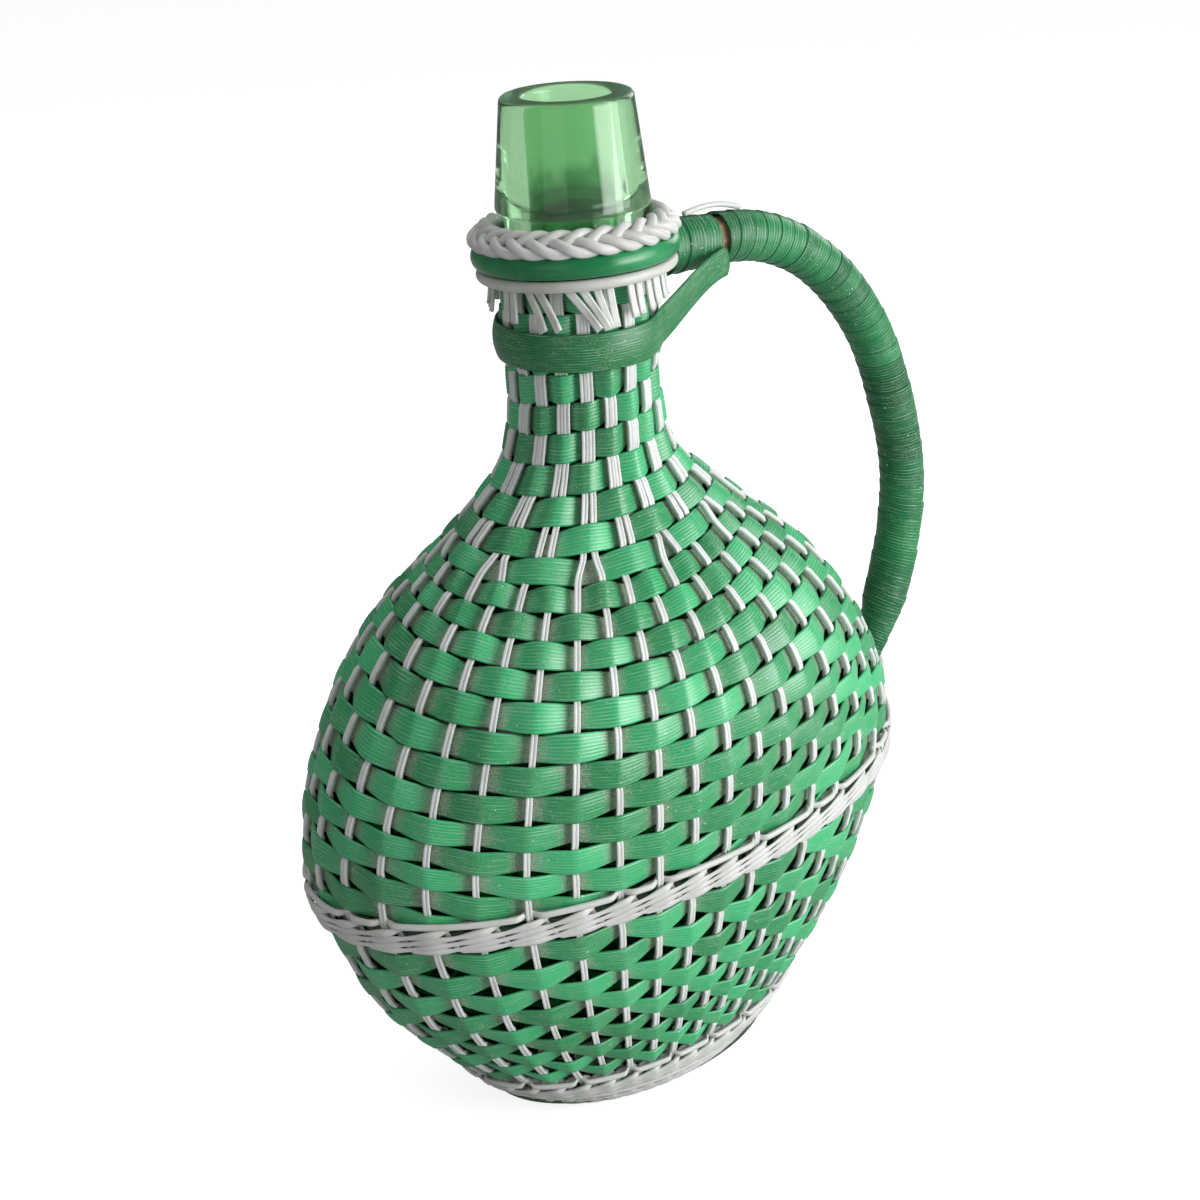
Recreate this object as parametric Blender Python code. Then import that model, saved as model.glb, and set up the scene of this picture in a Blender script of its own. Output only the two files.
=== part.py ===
"""Demijohn: an oval green glass bottle in a woven plastic jacket, with one side handle.

The jacket's outer face is the master surface. It is an oval at every height, long along X,
where the handle stands, and short along Y. Stakes run down it, ribbons go over and under
the stakes row by row, and the glass lies inside, one jacket thickness deeper.
"""
import math

import bmesh
import bpy
import numpy as np

# Jacket outline: half sizes of the outer face, and the heights that it runs between
LONG_HALF = 0.1078
SHORT_HALF = 0.0678
NECK_HALF = 0.0237
WEAVE_TOP = 0.276
# Height, half length and half width, as shares of the three sizes above
BODY_OUTLINE_SHARES = (
    (0.004, 0.392, 0.430),
    (0.054, 0.545, 0.563),
    (0.127, 0.726, 0.699),
    (0.199, 0.859, 0.799),
    (0.272, 0.940, 0.878),
    (0.344, 0.995, 0.941),
    (0.417, 0.994, 0.984),
    (0.489, 0.930, 1.000),
    (0.562, 0.828, 0.958),
    (0.634, 0.686, 0.797),
    (0.707, 0.479, 0.528),
)
# The same for the neck, where both half sizes are shares of the neck's half size
NECK_OUTLINE_SHARES = (
    (0.779, 1.280, 1.050),
    (0.851, 1.020, 1.000),
    (0.925, 1.030, 1.030),
    (1.000, 1.010, 1.010),
)

# Stakes: pairs at the neck, each opening into two single stakes on the shoulder
NECK_STAKES = 20
STAKES = 2 * NECK_STAKES
STAKE_THICKNESS = 0.0011
STAKE_WIDTH_NECK = 0.0015
STAKE_WIDTH_BODY = 0.0020
PAIR_SHARE_NECK = 0.13
PAIR_SHARE_BODY = 0.25
STAKE_EVENNESS_SHARE = 0.6
STAKE_PHASE_SHARE = 0.15

# Ribbon rows: over one stake and under the next
RIBBON_THICKNESS = 0.0007
ROW_GAP = 0.0006
NECK_ROWS = 9
PAIR_ROWS = 1
UPPER_ROWS = 21
LOWER_ROWS = 9
LOWEST_ROW_SHARE = 0.70
CROSS_GAP_NECK = 0.0009
CROSS_GAP_BODY = 0.00045
GLASS_GAP = 0.0006
# Rows on one flat facet of the jacket, above the mid band and below it
UPPER_ROWS_ON_FACET = (5, 2, 1, 1, 2, 2, 2, 3)
FACETS_TO_BAND = 3
LOWER_ROWS_ON_FACET = (3, 3, 3)

# Rows above the mid band sway round the oval; short rows fill what that leaves at its ends
SWAY_PLACE_SHARES = (0, 0.17, 0.31, 0.64, 0.79, 0.88, 1)
SWAY_TILT_SHARES = (0, 0.050, 0.014, -0.021, -0.036, -0.018, -0.024)
SWAY_DISH_SHARES = (0, 0.012, 0.003, 0.036, 0.032, 0.050, 0.079)
SWAY_SKEW_SHARES = (0, 0.012, 0.005, -0.034, -0.045, -0.048, -0.065)
SWAY_FRONT_SHARE = 0.6875
SHORT_ROWS = 3
SHORT_ROW_LEAST = 0.0024

# White bands of twined strands, on the same slant, higher at the handle
BAND_SLANT_SHARE = 0.04
MID_BAND_HEIGHT = 0.0960
MID_BAND_WIDTH = 0.0126
MID_STRANDS = 4
FOOT_BAND_TOP = 0.0215
FOOT_STRANDS = 3
STRAND_THICKNESS = 0.0019
STRAND_GAP = 0.0004
STRAND_SWING = 0.0005

# Glass
GLASS_WALL_BODY = 0.0040
GLASS_WALL_NECK = 0.0060
GLASS_FLOOR = 0.0070
COLLAR_RISE = 0.0152
COLLAR_LENGTH = 0.0338
COLLAR_FOOT_HEIGHT = WEAVE_TOP + COLLAR_RISE
RIM_HEIGHT = COLLAR_FOOT_HEIGHT + COLLAR_LENGTH
COLLAR_FOOT_RADIUS = 0.0231
COLLAR_TOP_RADIUS = 0.0198
COLLAR_ROUNDING = 0.0018
BORE_RADIUS = 0.0130

# Foot: woven floor under the crossed stakes
FLOOR_THICKNESS = 0.0030
FLOOR_INSET = 0.0034
CROSSING_THICKNESS = 0.0013
REST_GAP = 0.0003

# Neck border, from the top: plaited ring, green hoop, white hoop, ends of the stakes
BORDER_SLANT = math.radians(2.4)
BRAID_RADIUS = 0.0280
BRAID_HALF_WIDTH = 0.0042
BRAID_HALF_HEIGHT = 0.0037
HOOP_RISE = 0.0033
HOOP_HEIGHT = WEAVE_TOP + HOOP_RISE
HOOP_RADIUS = 0.0288
HOOP_DEPTH = 0.0050
HOOP_TALL = 0.0066
WHITE_HOOP_RADIUS = 0.0287
WHITE_HOOP_DEPTH = 0.0030
WHITE_HOOP_TALL = 0.0034
ENDS_THICKNESS = 0.0011
ENDS_LENGTH = 0.0120
ENDS_RING_HEIGHT = 0.0100
ENDS_COUNT = 20
ENDS_TURN_SHARE = 0.35
ENDS_UNEVEN_SHARE = 0.12
ENDS_SPLAY_SHARE = 0.22
BORDER_GAP = 0.0003

# Neck sling: wide ribbon round the neck, its two ends laid along the handle's root
SLING_WIDTH = 0.0135
SLING_END_WIDTH = 0.0090
SLING_THICKNESS = 0.0010
SLING_DROP = 0.0220
SLING_HEIGHT = WEAVE_TOP - SLING_DROP
SLING_RISE = 0.0130
SLING_EASE = 0.0006
SLING_LEAVE = math.radians(52)
SLING_CLIMB = math.radians(80)

# Handle: core, ribbon wound round it, wider turns at its root
HANDLE_STAND_OFF = 0.0235
HANDLE_ROOT_DROP = 0.0065
HANDLE_TIP_RISE = 0.0115
CORE_RADIUS_ROOT = 0.0068
CORE_RADIUS_MIDDLE = 0.0061
CORE_RADIUS_TIP = 0.0016
CORE_TIP_TAPER = 0.0260
WRAP_THICKNESS = 0.0009
WRAP_CLEARANCE = 0.0005
WRAP_TURNS = 23
WRAP_GAP = 0.00065
WRAP_LAP = 0.0003
ROOT_TURNS = 2
ROOT_WRAP_LENGTH = 0.0180
ROOT_BARE_LENGTH = 0.0030
KEEPER_THICKNESS = 0.0018
KEEPER_RISE = 0.0014
EYELET_THICKNESS = 0.0028
EYELET_REACH = 0.0040
EYELET_DROP = 0.0045
# Centreline from the root down: share of the reach, share of the height
HANDLE_UPPER_SHARES = (
    (0.000, 1.000),
    (0.134, 0.999),
    (0.267, 0.994),
    (0.401, 0.978),
    (0.545, 0.938),
    (0.678, 0.875),
    (0.781, 0.802),
    (0.869, 0.714),
    (0.935, 0.606),
    (0.981, 0.498),
    (1.000, 0.402),
)
HANDLE_LOWER_SHARES = (
    (0.930, 0.305),
    (0.745, 0.215),
    (0.480, 0.130),
    (0.225, 0.057),
    (0.000, 0.000),
)

# Counts of facets
ROUND_SIDES = 30
WRAP_POINTS = 8
CORE_POINTS = 26
KEEPER_POINTS = 7
EYELET_POINTS = 9
SLING_ROUND_POINTS = 12
SLING_LEAD_POINTS = 8
SPLINE_STEPS = 24

GREEN = (0.035, 0.330, 0.130, 1.0)
DARK_GREEN = (0.015, 0.180, 0.060, 1.0)
GLASS_GREEN = (0.170, 0.560, 0.270, 1.0)
WHITE = (0.700, 0.720, 0.690, 1.0)
CANE = (0.450, 0.330, 0.180, 1.0)


def clear_scene():
    """Empty the file of objects."""
    for thing in list(bpy.data.objects):
        bpy.data.objects.remove(thing, do_unlink=True)


def new_collection(name):
    """Collection of that name, linked to the scene."""
    group = bpy.data.collections.new(name)
    bpy.context.scene.collection.children.link(group)
    return group


def new_material(name, colour, roughness, transmission=0.0):
    """Principled material of one colour."""
    material = bpy.data.materials.new(name)
    material.use_nodes = True
    shader = material.node_tree.nodes["Principled BSDF"]
    shader.inputs["Base Color"].default_value = colour
    shader.inputs["Roughness"].default_value = roughness
    shader.inputs["Transmission Weight"].default_value = transmission
    return material


def place(thing, material, group):
    """Give an object its material and put it in its collection only."""
    thing.data.materials.clear()
    thing.data.materials.append(material)
    for home in list(thing.users_collection):
        home.objects.unlink(thing)
    group.objects.link(thing)
    return thing


def solid(name, points, faces, material, group):
    """Object from points and faces, its faces turned outwards."""
    mesh = bpy.data.meshes.new(name)
    mesh.from_pydata([tuple(point) for point in points], [], faces)
    work = bmesh.new()
    work.from_mesh(mesh)
    bmesh.ops.recalc_face_normals(work, faces=work.faces)
    work.to_mesh(mesh)
    work.free()
    return place(bpy.data.objects.new(name, mesh), material, group)


def ring_faces(rings, corners, closed):
    """Faces of a tube of rings, joined end to end or capped with flat ends."""
    faces = []
    for ring in range(rings if closed else rings - 1):
        after = (ring + 1) % rings
        for corner in range(corners):
            beside = (corner + 1) % corners
            faces.append((ring * corners + corner, ring * corners + beside,
                          after * corners + beside, after * corners + corner))
    if not closed:
        faces.append(tuple(range(corners)))
        faces.append(tuple((rings - 1) * corners + corner for corner in range(corners)))
    return faces


def loft(name, sections, closed, material, group):
    """Solid through sections, an array of rings by corners by 3."""
    sections = np.asarray(sections)
    rings, corners, _ = sections.shape
    faces = ring_faces(rings, corners, closed)
    return solid(name, sections.reshape(-1, 3), faces, material, group)


def smooth_through(points, steps):
    """Smooth curve through the points, with so many steps to a span."""
    points = np.asarray(points, dtype=float)
    first = 2 * points[0] - points[1]
    last = 2 * points[-1] - points[-2]
    ring = np.vstack([first, points, last])
    share = np.linspace(0, 1, steps, endpoint=False)[:, None]
    spans = []
    for a, b, c, d in zip(ring, ring[1:], ring[2:], ring[3:]):
        spans.append(0.5 * (2 * b + (c - a) * share + (2 * a - 5 * b + 4 * c - d) * share ** 2
                            + (3 * b - a - 3 * c + d) * share ** 3))
    return np.vstack(spans + [points[-1:]])


def unit(vectors):
    """Vectors at length 1."""
    return vectors / np.linalg.norm(vectors, axis=-1, keepdims=True)


def travelled(points):
    """Distance along a line of points, zero at the first."""
    steps = np.linalg.norm(np.diff(points, axis=-2), axis=-1)
    start = np.zeros(steps.shape[:-1] + (1,))
    return np.concatenate([start, np.cumsum(steps, axis=-1)], axis=-1)


def level_of(points):
    """Height above the slanted levels that the rows and bands follow."""
    return points[..., 2] - BAND_SLANT_SHARE * points[..., 0]


class Jacket:
    """The woven skin as flat facets: a line of knots down each stake, at slanted levels."""

    def __init__(self):
        body = [(height * WEAVE_TOP, long * LONG_HALF, short * SHORT_HALF)
                for height, long, short in BODY_OUTLINE_SHARES]
        neck = [(height * WEAVE_TOP, long * NECK_HALF, short * NECK_HALF)
                for height, long, short in NECK_OUTLINE_SHARES]
        outline = smooth_through((body + neck)[::-1], SPLINE_STEPS)
        self.height, self.long, self.short = outline.T
        self.long_slope = np.gradient(self.long, self.height)
        self.short_slope = np.gradient(self.short, self.height)
        pair = (np.arange(NECK_STAKES) + STAKE_PHASE_SHARE)[:, None] / NECK_STAKES
        centre, _, _ = self.outer_face(np.repeat(pair, len(outline), axis=1))
        front, _, _ = self.outer_face(np.full((1, len(outline)), SWAY_FRONT_SHARE))
        base_edges, self.lower_edges = row_edges(front[0], centre)
        self.top_level = base_edges[0]
        self.split_level = base_edges[NECK_ROWS]
        self.open_level = base_edges[NECK_ROWS + PAIR_ROWS]
        self.band_top = MID_BAND_HEIGHT + MID_BAND_WIDTH / 2
        place_shares = np.arange(len(base_edges)) / UPPER_ROWS
        pair_edges = base_edges + sway(pair, place_shares)
        opening = np.array([np.interp(-level, (-edges[NECK_ROWS], -edges[NECK_ROWS + PAIR_ROWS]),
                                      (PAIR_SHARE_NECK, PAIR_SHARE_BODY))
                            for level, edges in zip(level_of(centre), pair_edges)])
        side = np.where(np.arange(STAKES) % 2, 1.0, -1.0)[:, None]
        around = np.repeat(pair, 2, axis=0) + side * np.repeat(opening, 2, axis=0) / NECK_STAKES
        faces = self.outer_face(around)
        line_levels = level_of(faces[0])
        self.upper_edges = base_edges + sway(around[:, -1:], place_shares)
        self.levels = self.knot_levels(line_levels)
        self.knots, normals, tangents = (self.at_knots(line_levels, values) for values in faces)
        self.knot_normals = unit(normals)
        self.knot_tangents = unit(tangents)
        self.cross_gap = np.interp(-self.levels, (-self.open_level, -self.band_top),
                                   (CROSS_GAP_NECK, CROSS_GAP_BODY))

    def outer_face(self, around):
        """Points, normals and level tangents of the outer face, at shares of a turn."""
        oval = (self.long - self.short) / (self.long + self.short)
        angle = 2 * math.pi * around
        angle = angle + STAKE_EVENNESS_SHARE * oval * np.sin(2 * angle)
        cos, sin = np.cos(angle), np.sin(angle)
        height = np.broadcast_to(self.height, angle.shape)
        points = np.stack([self.long * cos, self.short * sin, height], axis=-1)
        tangents = np.stack([-self.long * sin, self.short * cos, 0 * cos], axis=-1)
        lift = -self.long * self.short_slope * sin ** 2 - self.short * self.long_slope * cos ** 2
        normals = np.stack([self.short * cos, self.long * sin, lift], axis=-1)
        return points, unit(normals), unit(tangents)

    def knot_levels(self, line_levels):
        """Levels of the knots: the edges of groups of rows, then two to the foot."""
        above = self.upper_edges[:, np.cumsum((0,) + UPPER_ROWS_ON_FACET)]
        down = np.arange(1, FACETS_TO_BAND + 1) / FACETS_TO_BAND
        last = above[:, -1:]
        to_band = last + down * (self.band_top - last)
        below = self.lower_edges[np.cumsum((0,) + LOWER_ROWS_ON_FACET)]
        foot = line_levels[:, -1]
        middle = 0.5 * (below[-1] + foot)
        return np.column_stack([above, to_band, np.repeat(below[None, :], STAKES, axis=0),
                                middle, foot])

    def at_knots(self, line_levels, values):
        """Values of each stake's line at its knots."""
        return np.array([[np.interp(-self.levels[stake], -line_levels[stake],
                                    values[stake, :, axis]) for axis in range(3)]
                         for stake in range(STAKES)]).transpose(0, 2, 1)

    def layer(self, solid_depth, cross_gaps):
        """Knots at a depth of solid material and a number of crossing gaps."""
        depth = solid_depth + cross_gaps * self.cross_gap
        return self.knots - depth[..., None] * self.knot_normals

    def at(self, layer, stake, level):
        """Point of a layer down one stake, straight between its knots."""
        return np.array([np.interp(-level, -self.levels[stake], layer[stake, :, axis])
                         for axis in range(3)])


def row_edges(front, lines):
    """Levels of the rows' edges: even steps down the front, then of the mean way down lines."""
    ways = travelled(lines)
    levels = level_of(lines)
    grid = np.linspace(levels[:, 0].min(), levels[:, -1].max(), lines.shape[1])
    mean_way = np.mean([np.interp(-grid, -level, way) for level, way in zip(levels, ways)],
                       axis=0)
    front_way = np.interp(-grid, -level_of(front), travelled(front))

    def edges_between(high, low, shares, way):
        first, last = np.interp((-high, -low), -grid, way)
        return np.interp(first + shares * (last - first), way, grid)

    band_top = MID_BAND_HEIGHT + MID_BAND_WIDTH / 2
    band_bottom = MID_BAND_HEIGHT - MID_BAND_WIDTH / 2
    even = np.arange(UPPER_ROWS + SHORT_ROWS + 1) / UPPER_ROWS
    widths = np.linspace(1, LOWEST_ROW_SHARE, LOWER_ROWS)
    tapering = np.concatenate([[0], np.cumsum(widths)]) / widths.sum()
    return (edges_between(grid[0], band_top, even, front_way),
            edges_between(band_bottom, FOOT_BAND_TOP, tapering, mean_way))


def sway(around, place_shares):
    """Rise of the upper rows over the slanted levels, nothing at the front."""
    tilt, dish, skew = (LONG_HALF * np.interp(place_shares, SWAY_PLACE_SHARES, shares)
                        for shares in (SWAY_TILT_SHARES, SWAY_DISH_SHARES, SWAY_SKEW_SHARES))

    def rise(share):
        angle = 2 * math.pi * share
        return tilt * np.cos(angle) + dish * np.cos(2 * angle) + skew * np.sin(2 * angle)

    return rise(around) - rise(SWAY_FRONT_SHARE)


def unbroken_runs(marked):
    """Runs of neighbouring stakes that are marked, round the ring."""
    runs = [[]]
    start = int(np.argmin(marked))
    for step in range(len(marked)):
        stake = (start + step) % len(marked)
        if marked[stake]:
            runs[-1].append(stake)
        elif runs[-1]:
            runs.append([])
    return [run for run in runs if run]


def weave_rows(jacket, material, group):
    """One closed ribbon for each row, over one stake or pair and under the next."""
    below = RIBBON_THICKNESS + STAKE_THICKNESS
    over = (jacket.layer(0, 0), jacket.layer(RIBBON_THICKNESS, 0))
    under = (jacket.layer(below, 2), jacket.layer(below + RIBBON_THICKNESS, 2))

    def section(row, stake, top, bottom):
        crossing = stake // 2 if row < NECK_ROWS + PAIR_ROWS else stake
        outer, inner = over if (row + crossing) % 2 else under
        return [jacket.at(outer, stake, top - ROW_GAP / 2),
                jacket.at(outer, stake, bottom + ROW_GAP / 2),
                jacket.at(inner, stake, (top + bottom) / 2)]

    upper = np.maximum(jacket.upper_edges, jacket.band_top).T
    lower = np.repeat(jacket.lower_edges[:, None], STAKES, axis=1)
    edges = list(zip(upper, upper[1:UPPER_ROWS + 1])) + list(zip(lower, lower[1:]))
    for row, (tops, bottoms) in enumerate(edges):
        sections = np.array([section(row, stake, tops[stake], bottoms[stake])
                             for stake in range(STAKES)])
        if row < NECK_ROWS:
            sections = 0.5 * (sections[0::2] + sections[1::2])
        loft(f"weave_row_{row + 1:02d}", sections, True, material, group)
    count = 0
    for row in range(UPPER_ROWS, UPPER_ROWS + SHORT_ROWS):
        tops, bottoms = upper[row], upper[row + 1]
        for run in unbroken_runs(tops - bottoms > SHORT_ROW_LEAST):
            count += 1
            sections = [section(row, stake, tops[stake], bottoms[stake]) for stake in run]
            loft(f"weave_short_row_{count}", sections, False, material, group)


def stake_frame(jacket, material, group, cutters):
    """All the stakes, crossed under the bottle: blanks joined to the crossing by a union."""
    outer = jacket.layer(RIBBON_THICKNESS, 1)
    inner = jacket.layer(RIBBON_THICKNESS + STAKE_THICKNESS, 1)
    widths = np.interp(-jacket.levels, (-jacket.top_level, -jacket.split_level),
                       (STAKE_WIDTH_NECK, STAKE_WIDTH_BODY))
    crossing_low = FLOOR_THICKNESS + REST_GAP
    crossing_middle = crossing_low + CROSSING_THICKNESS / 2
    rim = []
    points = []
    faces = []
    for stake in range(STAKES):
        side = jacket.knot_tangents[stake] * (widths[stake] / 2)[:, None]
        rings = np.stack([inner[stake] - side, inner[stake] + side, outer[stake]], axis=1)
        middle = rings.mean(axis=1)
        share = (crossing_middle - middle[-1, 2]) / (middle[-2, 2] - middle[-1, 2])
        rings[-1] = rings[-1] + share * (rings[-2] - rings[-1])
        start = len(points)
        points.extend(rings.reshape(-1, 3))
        faces.extend(tuple(start + index for index in face)
                     for face in ring_faces(len(rings), rings.shape[1], False))
        end = rings[-1].mean(axis=0)
        rim.append(end + unit(end * (1, 1, 0)) * STAKE_THICKNESS)
    blanks = solid("stake_blanks", points, faces, material, cutters)
    blanks.hide_render = True
    blanks.display_type = "WIRE"
    levels = []
    for height in (crossing_low, crossing_low + CROSSING_THICKNESS):
        ring = np.array(rim)
        ring[:, 2] = height
        levels.append(ring)
    frame = loft("stake_frame", levels, False, material, group)
    union = frame.modifiers.new("stakes", "BOOLEAN")
    union.operation = "UNION"
    union.solver = "EXACT"
    union.object = blanks
    return frame


def strand_ring(jacket, name, levels, widths, swing_start, material, group):
    """White strand round the jacket, swinging out over every second stake."""
    depth = RIBBON_THICKNESS / 2
    bottom = jacket.layer(depth, 0)
    crests = (jacket.layer(depth - STRAND_THICKNESS, 0),
              jacket.layer(depth - STRAND_THICKNESS - STRAND_SWING, 0))
    sections = []
    for stake in range(STAKES):
        crest = crests[(stake + swing_start) % 2]
        half = widths[stake] / 2
        sections.append([jacket.at(bottom, stake, levels[stake] + half),
                         jacket.at(crest, stake, levels[stake]),
                         jacket.at(bottom, stake, levels[stake] - half)])
    return loft(name, sections, True, material, group)


def white_bands(jacket, material, group):
    """The twined strands of the mid band and of the foot band."""
    pitch = MID_BAND_WIDTH / MID_STRANDS
    for strand in range(MID_STRANDS):
        level = MID_BAND_HEIGHT + MID_BAND_WIDTH / 2 - (strand + 0.5) * pitch
        strand_ring(jacket, f"mid_band_strand_{strand + 1}", np.full(STAKES, level),
                    np.full(STAKES, pitch - STRAND_GAP), strand, material, group)
    pitches = (FOOT_BAND_TOP - jacket.levels[:, -1]) / FOOT_STRANDS
    for strand in range(FOOT_STRANDS):
        strand_ring(jacket, f"foot_band_strand_{strand + 1}",
                    FOOT_BAND_TOP - (strand + 0.5) * pitches, pitches - STRAND_GAP,
                    strand, material, group)


def woven_floor(material, group):
    """Oval floor that the bottle and its jacket stand on."""
    foot_long = BODY_OUTLINE_SHARES[0][1] * LONG_HALF - FLOOR_INSET
    foot_short = BODY_OUTLINE_SHARES[0][2] * SHORT_HALF - FLOOR_INSET
    bpy.ops.mesh.primitive_cylinder_add(vertices=ROUND_SIDES, radius=1, depth=FLOOR_THICKNESS,
                                        location=(0, 0, FLOOR_THICKNESS / 2))
    floor = bpy.context.object
    floor.name = "woven_floor"
    floor.scale = (foot_long, foot_short, 1)
    return place(floor, material, group)


def glass_bottle(jacket, material, group):
    """Bottle as one skin: outer rings up to the collar, over the rim and down inside."""
    depth = 2 * RIBBON_THICKNESS + STAKE_THICKNESS + GLASS_GAP
    outer = jacket.layer(depth, 2)
    wall = np.interp(-jacket.levels, (-jacket.split_level, -jacket.open_level),
                     (GLASS_WALL_NECK, GLASS_WALL_BODY))
    inner = outer - wall[..., None] * jacket.knot_normals
    bottom = FLOOR_THICKNESS + CROSSING_THICKNESS + 2 * REST_GAP
    outer_rings = clipped_rings(outer, bottom)
    inner_rings = clipped_rings(inner, bottom + GLASS_FLOOR)
    bore_rings = [ring for ring in inner_rings if np.hypot(*ring[0, :2]) > BORE_RADIUS]
    bore_rings = bore_rings[:1] + bore_rings[1:-1:2] + bore_rings[-1:]
    angles = 2 * math.pi * (np.arange(STAKES) + 2 * STAKE_PHASE_SHARE - 0.5) / STAKES
    circle = np.stack([np.cos(angles), np.sin(angles)], axis=1)
    step = COLLAR_ROUNDING
    collar = (
        (COLLAR_FOOT_RADIUS - step, COLLAR_FOOT_HEIGHT),
        (COLLAR_FOOT_RADIUS, COLLAR_FOOT_HEIGHT + step),
        (COLLAR_TOP_RADIUS, RIM_HEIGHT - step),
        (COLLAR_TOP_RADIUS - step, RIM_HEIGHT),
        (BORE_RADIUS + step, RIM_HEIGHT),
        (BORE_RADIUS, RIM_HEIGHT - step),
        (BORE_RADIUS, WEAVE_TOP),
    )
    collar_rings = [np.column_stack([radius * circle, np.full(STAKES, height)])
                    for radius, height in collar]
    rings = outer_rings[::-1] + collar_rings + bore_rings
    points = np.vstack(rings)
    faces = ring_faces(len(rings), STAKES, False)
    return solid("glass_bottle", points, faces, material, group)


def clipped_rings(layer, lowest):
    """Rings of a layer from the top down, the last one brought to a flat level."""
    rings = []
    for knot in range(layer.shape[1]):
        ring = layer[:, knot].copy()
        if ring[:, 2].min() > lowest:
            rings.append(ring)
    before = rings[-1]
    after = layer[:, -1]
    share = (before[:, 2] - lowest) / (before[:, 2] - after[:, 2])
    last = before + share[:, None] * (after - before)
    last[:, 2] = lowest
    return rings + [last]


def slanted_ring(name, radius, half_width, half_height, height, sides, material, group):
    """Hoop round the neck, tilted as the border is, from a torus."""
    bpy.ops.mesh.primitive_torus_add(major_segments=ROUND_SIDES, minor_segments=sides,
                                     major_radius=radius, minor_radius=half_width)
    ring = bpy.context.object
    ring.name = name
    ring.scale = (1, 1, half_height / half_width)
    ring.location = (0, 0, height)
    ring.rotation_euler = (-BORDER_SLANT, 0, 0)
    return place(ring, material, group)


def neck_border(materials, group):
    """Plaited ring, green hoop and white hoop, one on another."""
    green, white = materials
    slanted_ring("green_hoop", HOOP_RADIUS, HOOP_DEPTH / 2, HOOP_TALL / 2,
                 HOOP_HEIGHT, 6, green, group)
    braid_height = HOOP_HEIGHT + HOOP_TALL / 2 + BORDER_GAP + BRAID_HALF_HEIGHT
    slanted_ring("braided_border", BRAID_RADIUS, BRAID_HALF_WIDTH, BRAID_HALF_HEIGHT,
                 braid_height, 8, white, group)
    white_height = HOOP_HEIGHT - HOOP_TALL / 2 - BORDER_GAP - WHITE_HOOP_TALL / 2
    slanted_ring("white_hoop", WHITE_HOOP_RADIUS, WHITE_HOOP_DEPTH / 2,
                 WHITE_HOOP_TALL / 2, white_height, 6, white, group)


def stake_ends(material, group):
    """Turned-down stakes: a ring behind the hoops with cut ends that splay out below it."""
    inside = HOOP_RADIUS - HOOP_DEPTH / 2 - BORDER_GAP
    outer = inside * math.cos(BORDER_SLANT) - BORDER_GAP
    inner = outer - ENDS_THICKNESS
    low = HOOP_HEIGHT - HOOP_TALL - ENDS_RING_HEIGHT / 4
    high = low + ENDS_RING_HEIGHT
    count = 2 * ENDS_COUNT
    angles = 2 * math.pi * np.arange(count) / count
    cos, sin = np.cos(angles), np.sin(angles)
    sections = []
    for radius, height in ((inner, low), (outer, low), (outer, high), (inner, high)):
        sections.append(np.stack([radius * cos, radius * sin, 0 * cos + height], axis=1))
    ring = loft("stake_ends", np.stack(sections, axis=1), True, material, group)
    work = bmesh.new()
    work.from_mesh(ring.data)
    middle = (low + high) / 2
    floor_faces = [face for face in work.faces
                   if face.normal.z < -0.5 and face.calc_center_median().z < middle]
    floor_faces.sort(key=lambda face: math.atan2(face.calc_center_median().y,
                                                 face.calc_center_median().x))
    for index, face in enumerate(floor_faces):
        centre = face.calc_center_median()
        under_sling = abs(math.atan2(centre.y, centre.x)) < SLING_CLIMB
        if index % 2 or under_sling:
            continue
        outwards = centre.copy()
        outwards.z = 0
        outwards.normalize()
        beside = outwards.cross((0, 0, 1))
        made = bmesh.ops.extrude_discrete_faces(work, faces=[face])
        tip = made["faces"][0]
        turn = ENDS_TURN_SHARE * math.sin(index)
        length = ENDS_LENGTH * (1 - ENDS_UNEVEN_SHARE * math.cos(3 * index))
        drop = beside * (length * turn) + outwards * (length * ENDS_SPLAY_SHARE)
        drop.z = -length
        bmesh.ops.translate(work, verts=tip.verts, vec=drop)
    bmesh.ops.recalc_face_normals(work, faces=work.faces)
    work.to_mesh(ring.data)
    work.free()
    return ring


def handle_line():
    """Centreline of the handle in the XZ plane, from its root down to its tip."""
    root_x = HOOP_RADIUS + HOOP_DEPTH / 2 + 2 * BORDER_GAP
    root_z = HOOP_HEIGHT - HANDLE_ROOT_DROP
    reach = LONG_HALF + HANDLE_STAND_OFF
    tip_x = LONG_HALF + STRAND_THICKNESS + EYELET_THICKNESS / 2 + CORE_RADIUS_TIP
    tip_z = MID_BAND_HEIGHT + HANDLE_TIP_RISE
    points = [(root_x + share * (reach - root_x), tip_z + rise * (root_z - tip_z))
              for share, rise in HANDLE_UPPER_SHARES]
    points += [(tip_x + share * (reach - tip_x), tip_z + rise * (root_z - tip_z))
               for share, rise in HANDLE_LOWER_SHARES]
    line = smooth_through([(x, 0, z) for x, z in points], SPLINE_STEPS)
    return line, travelled(line)


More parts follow.
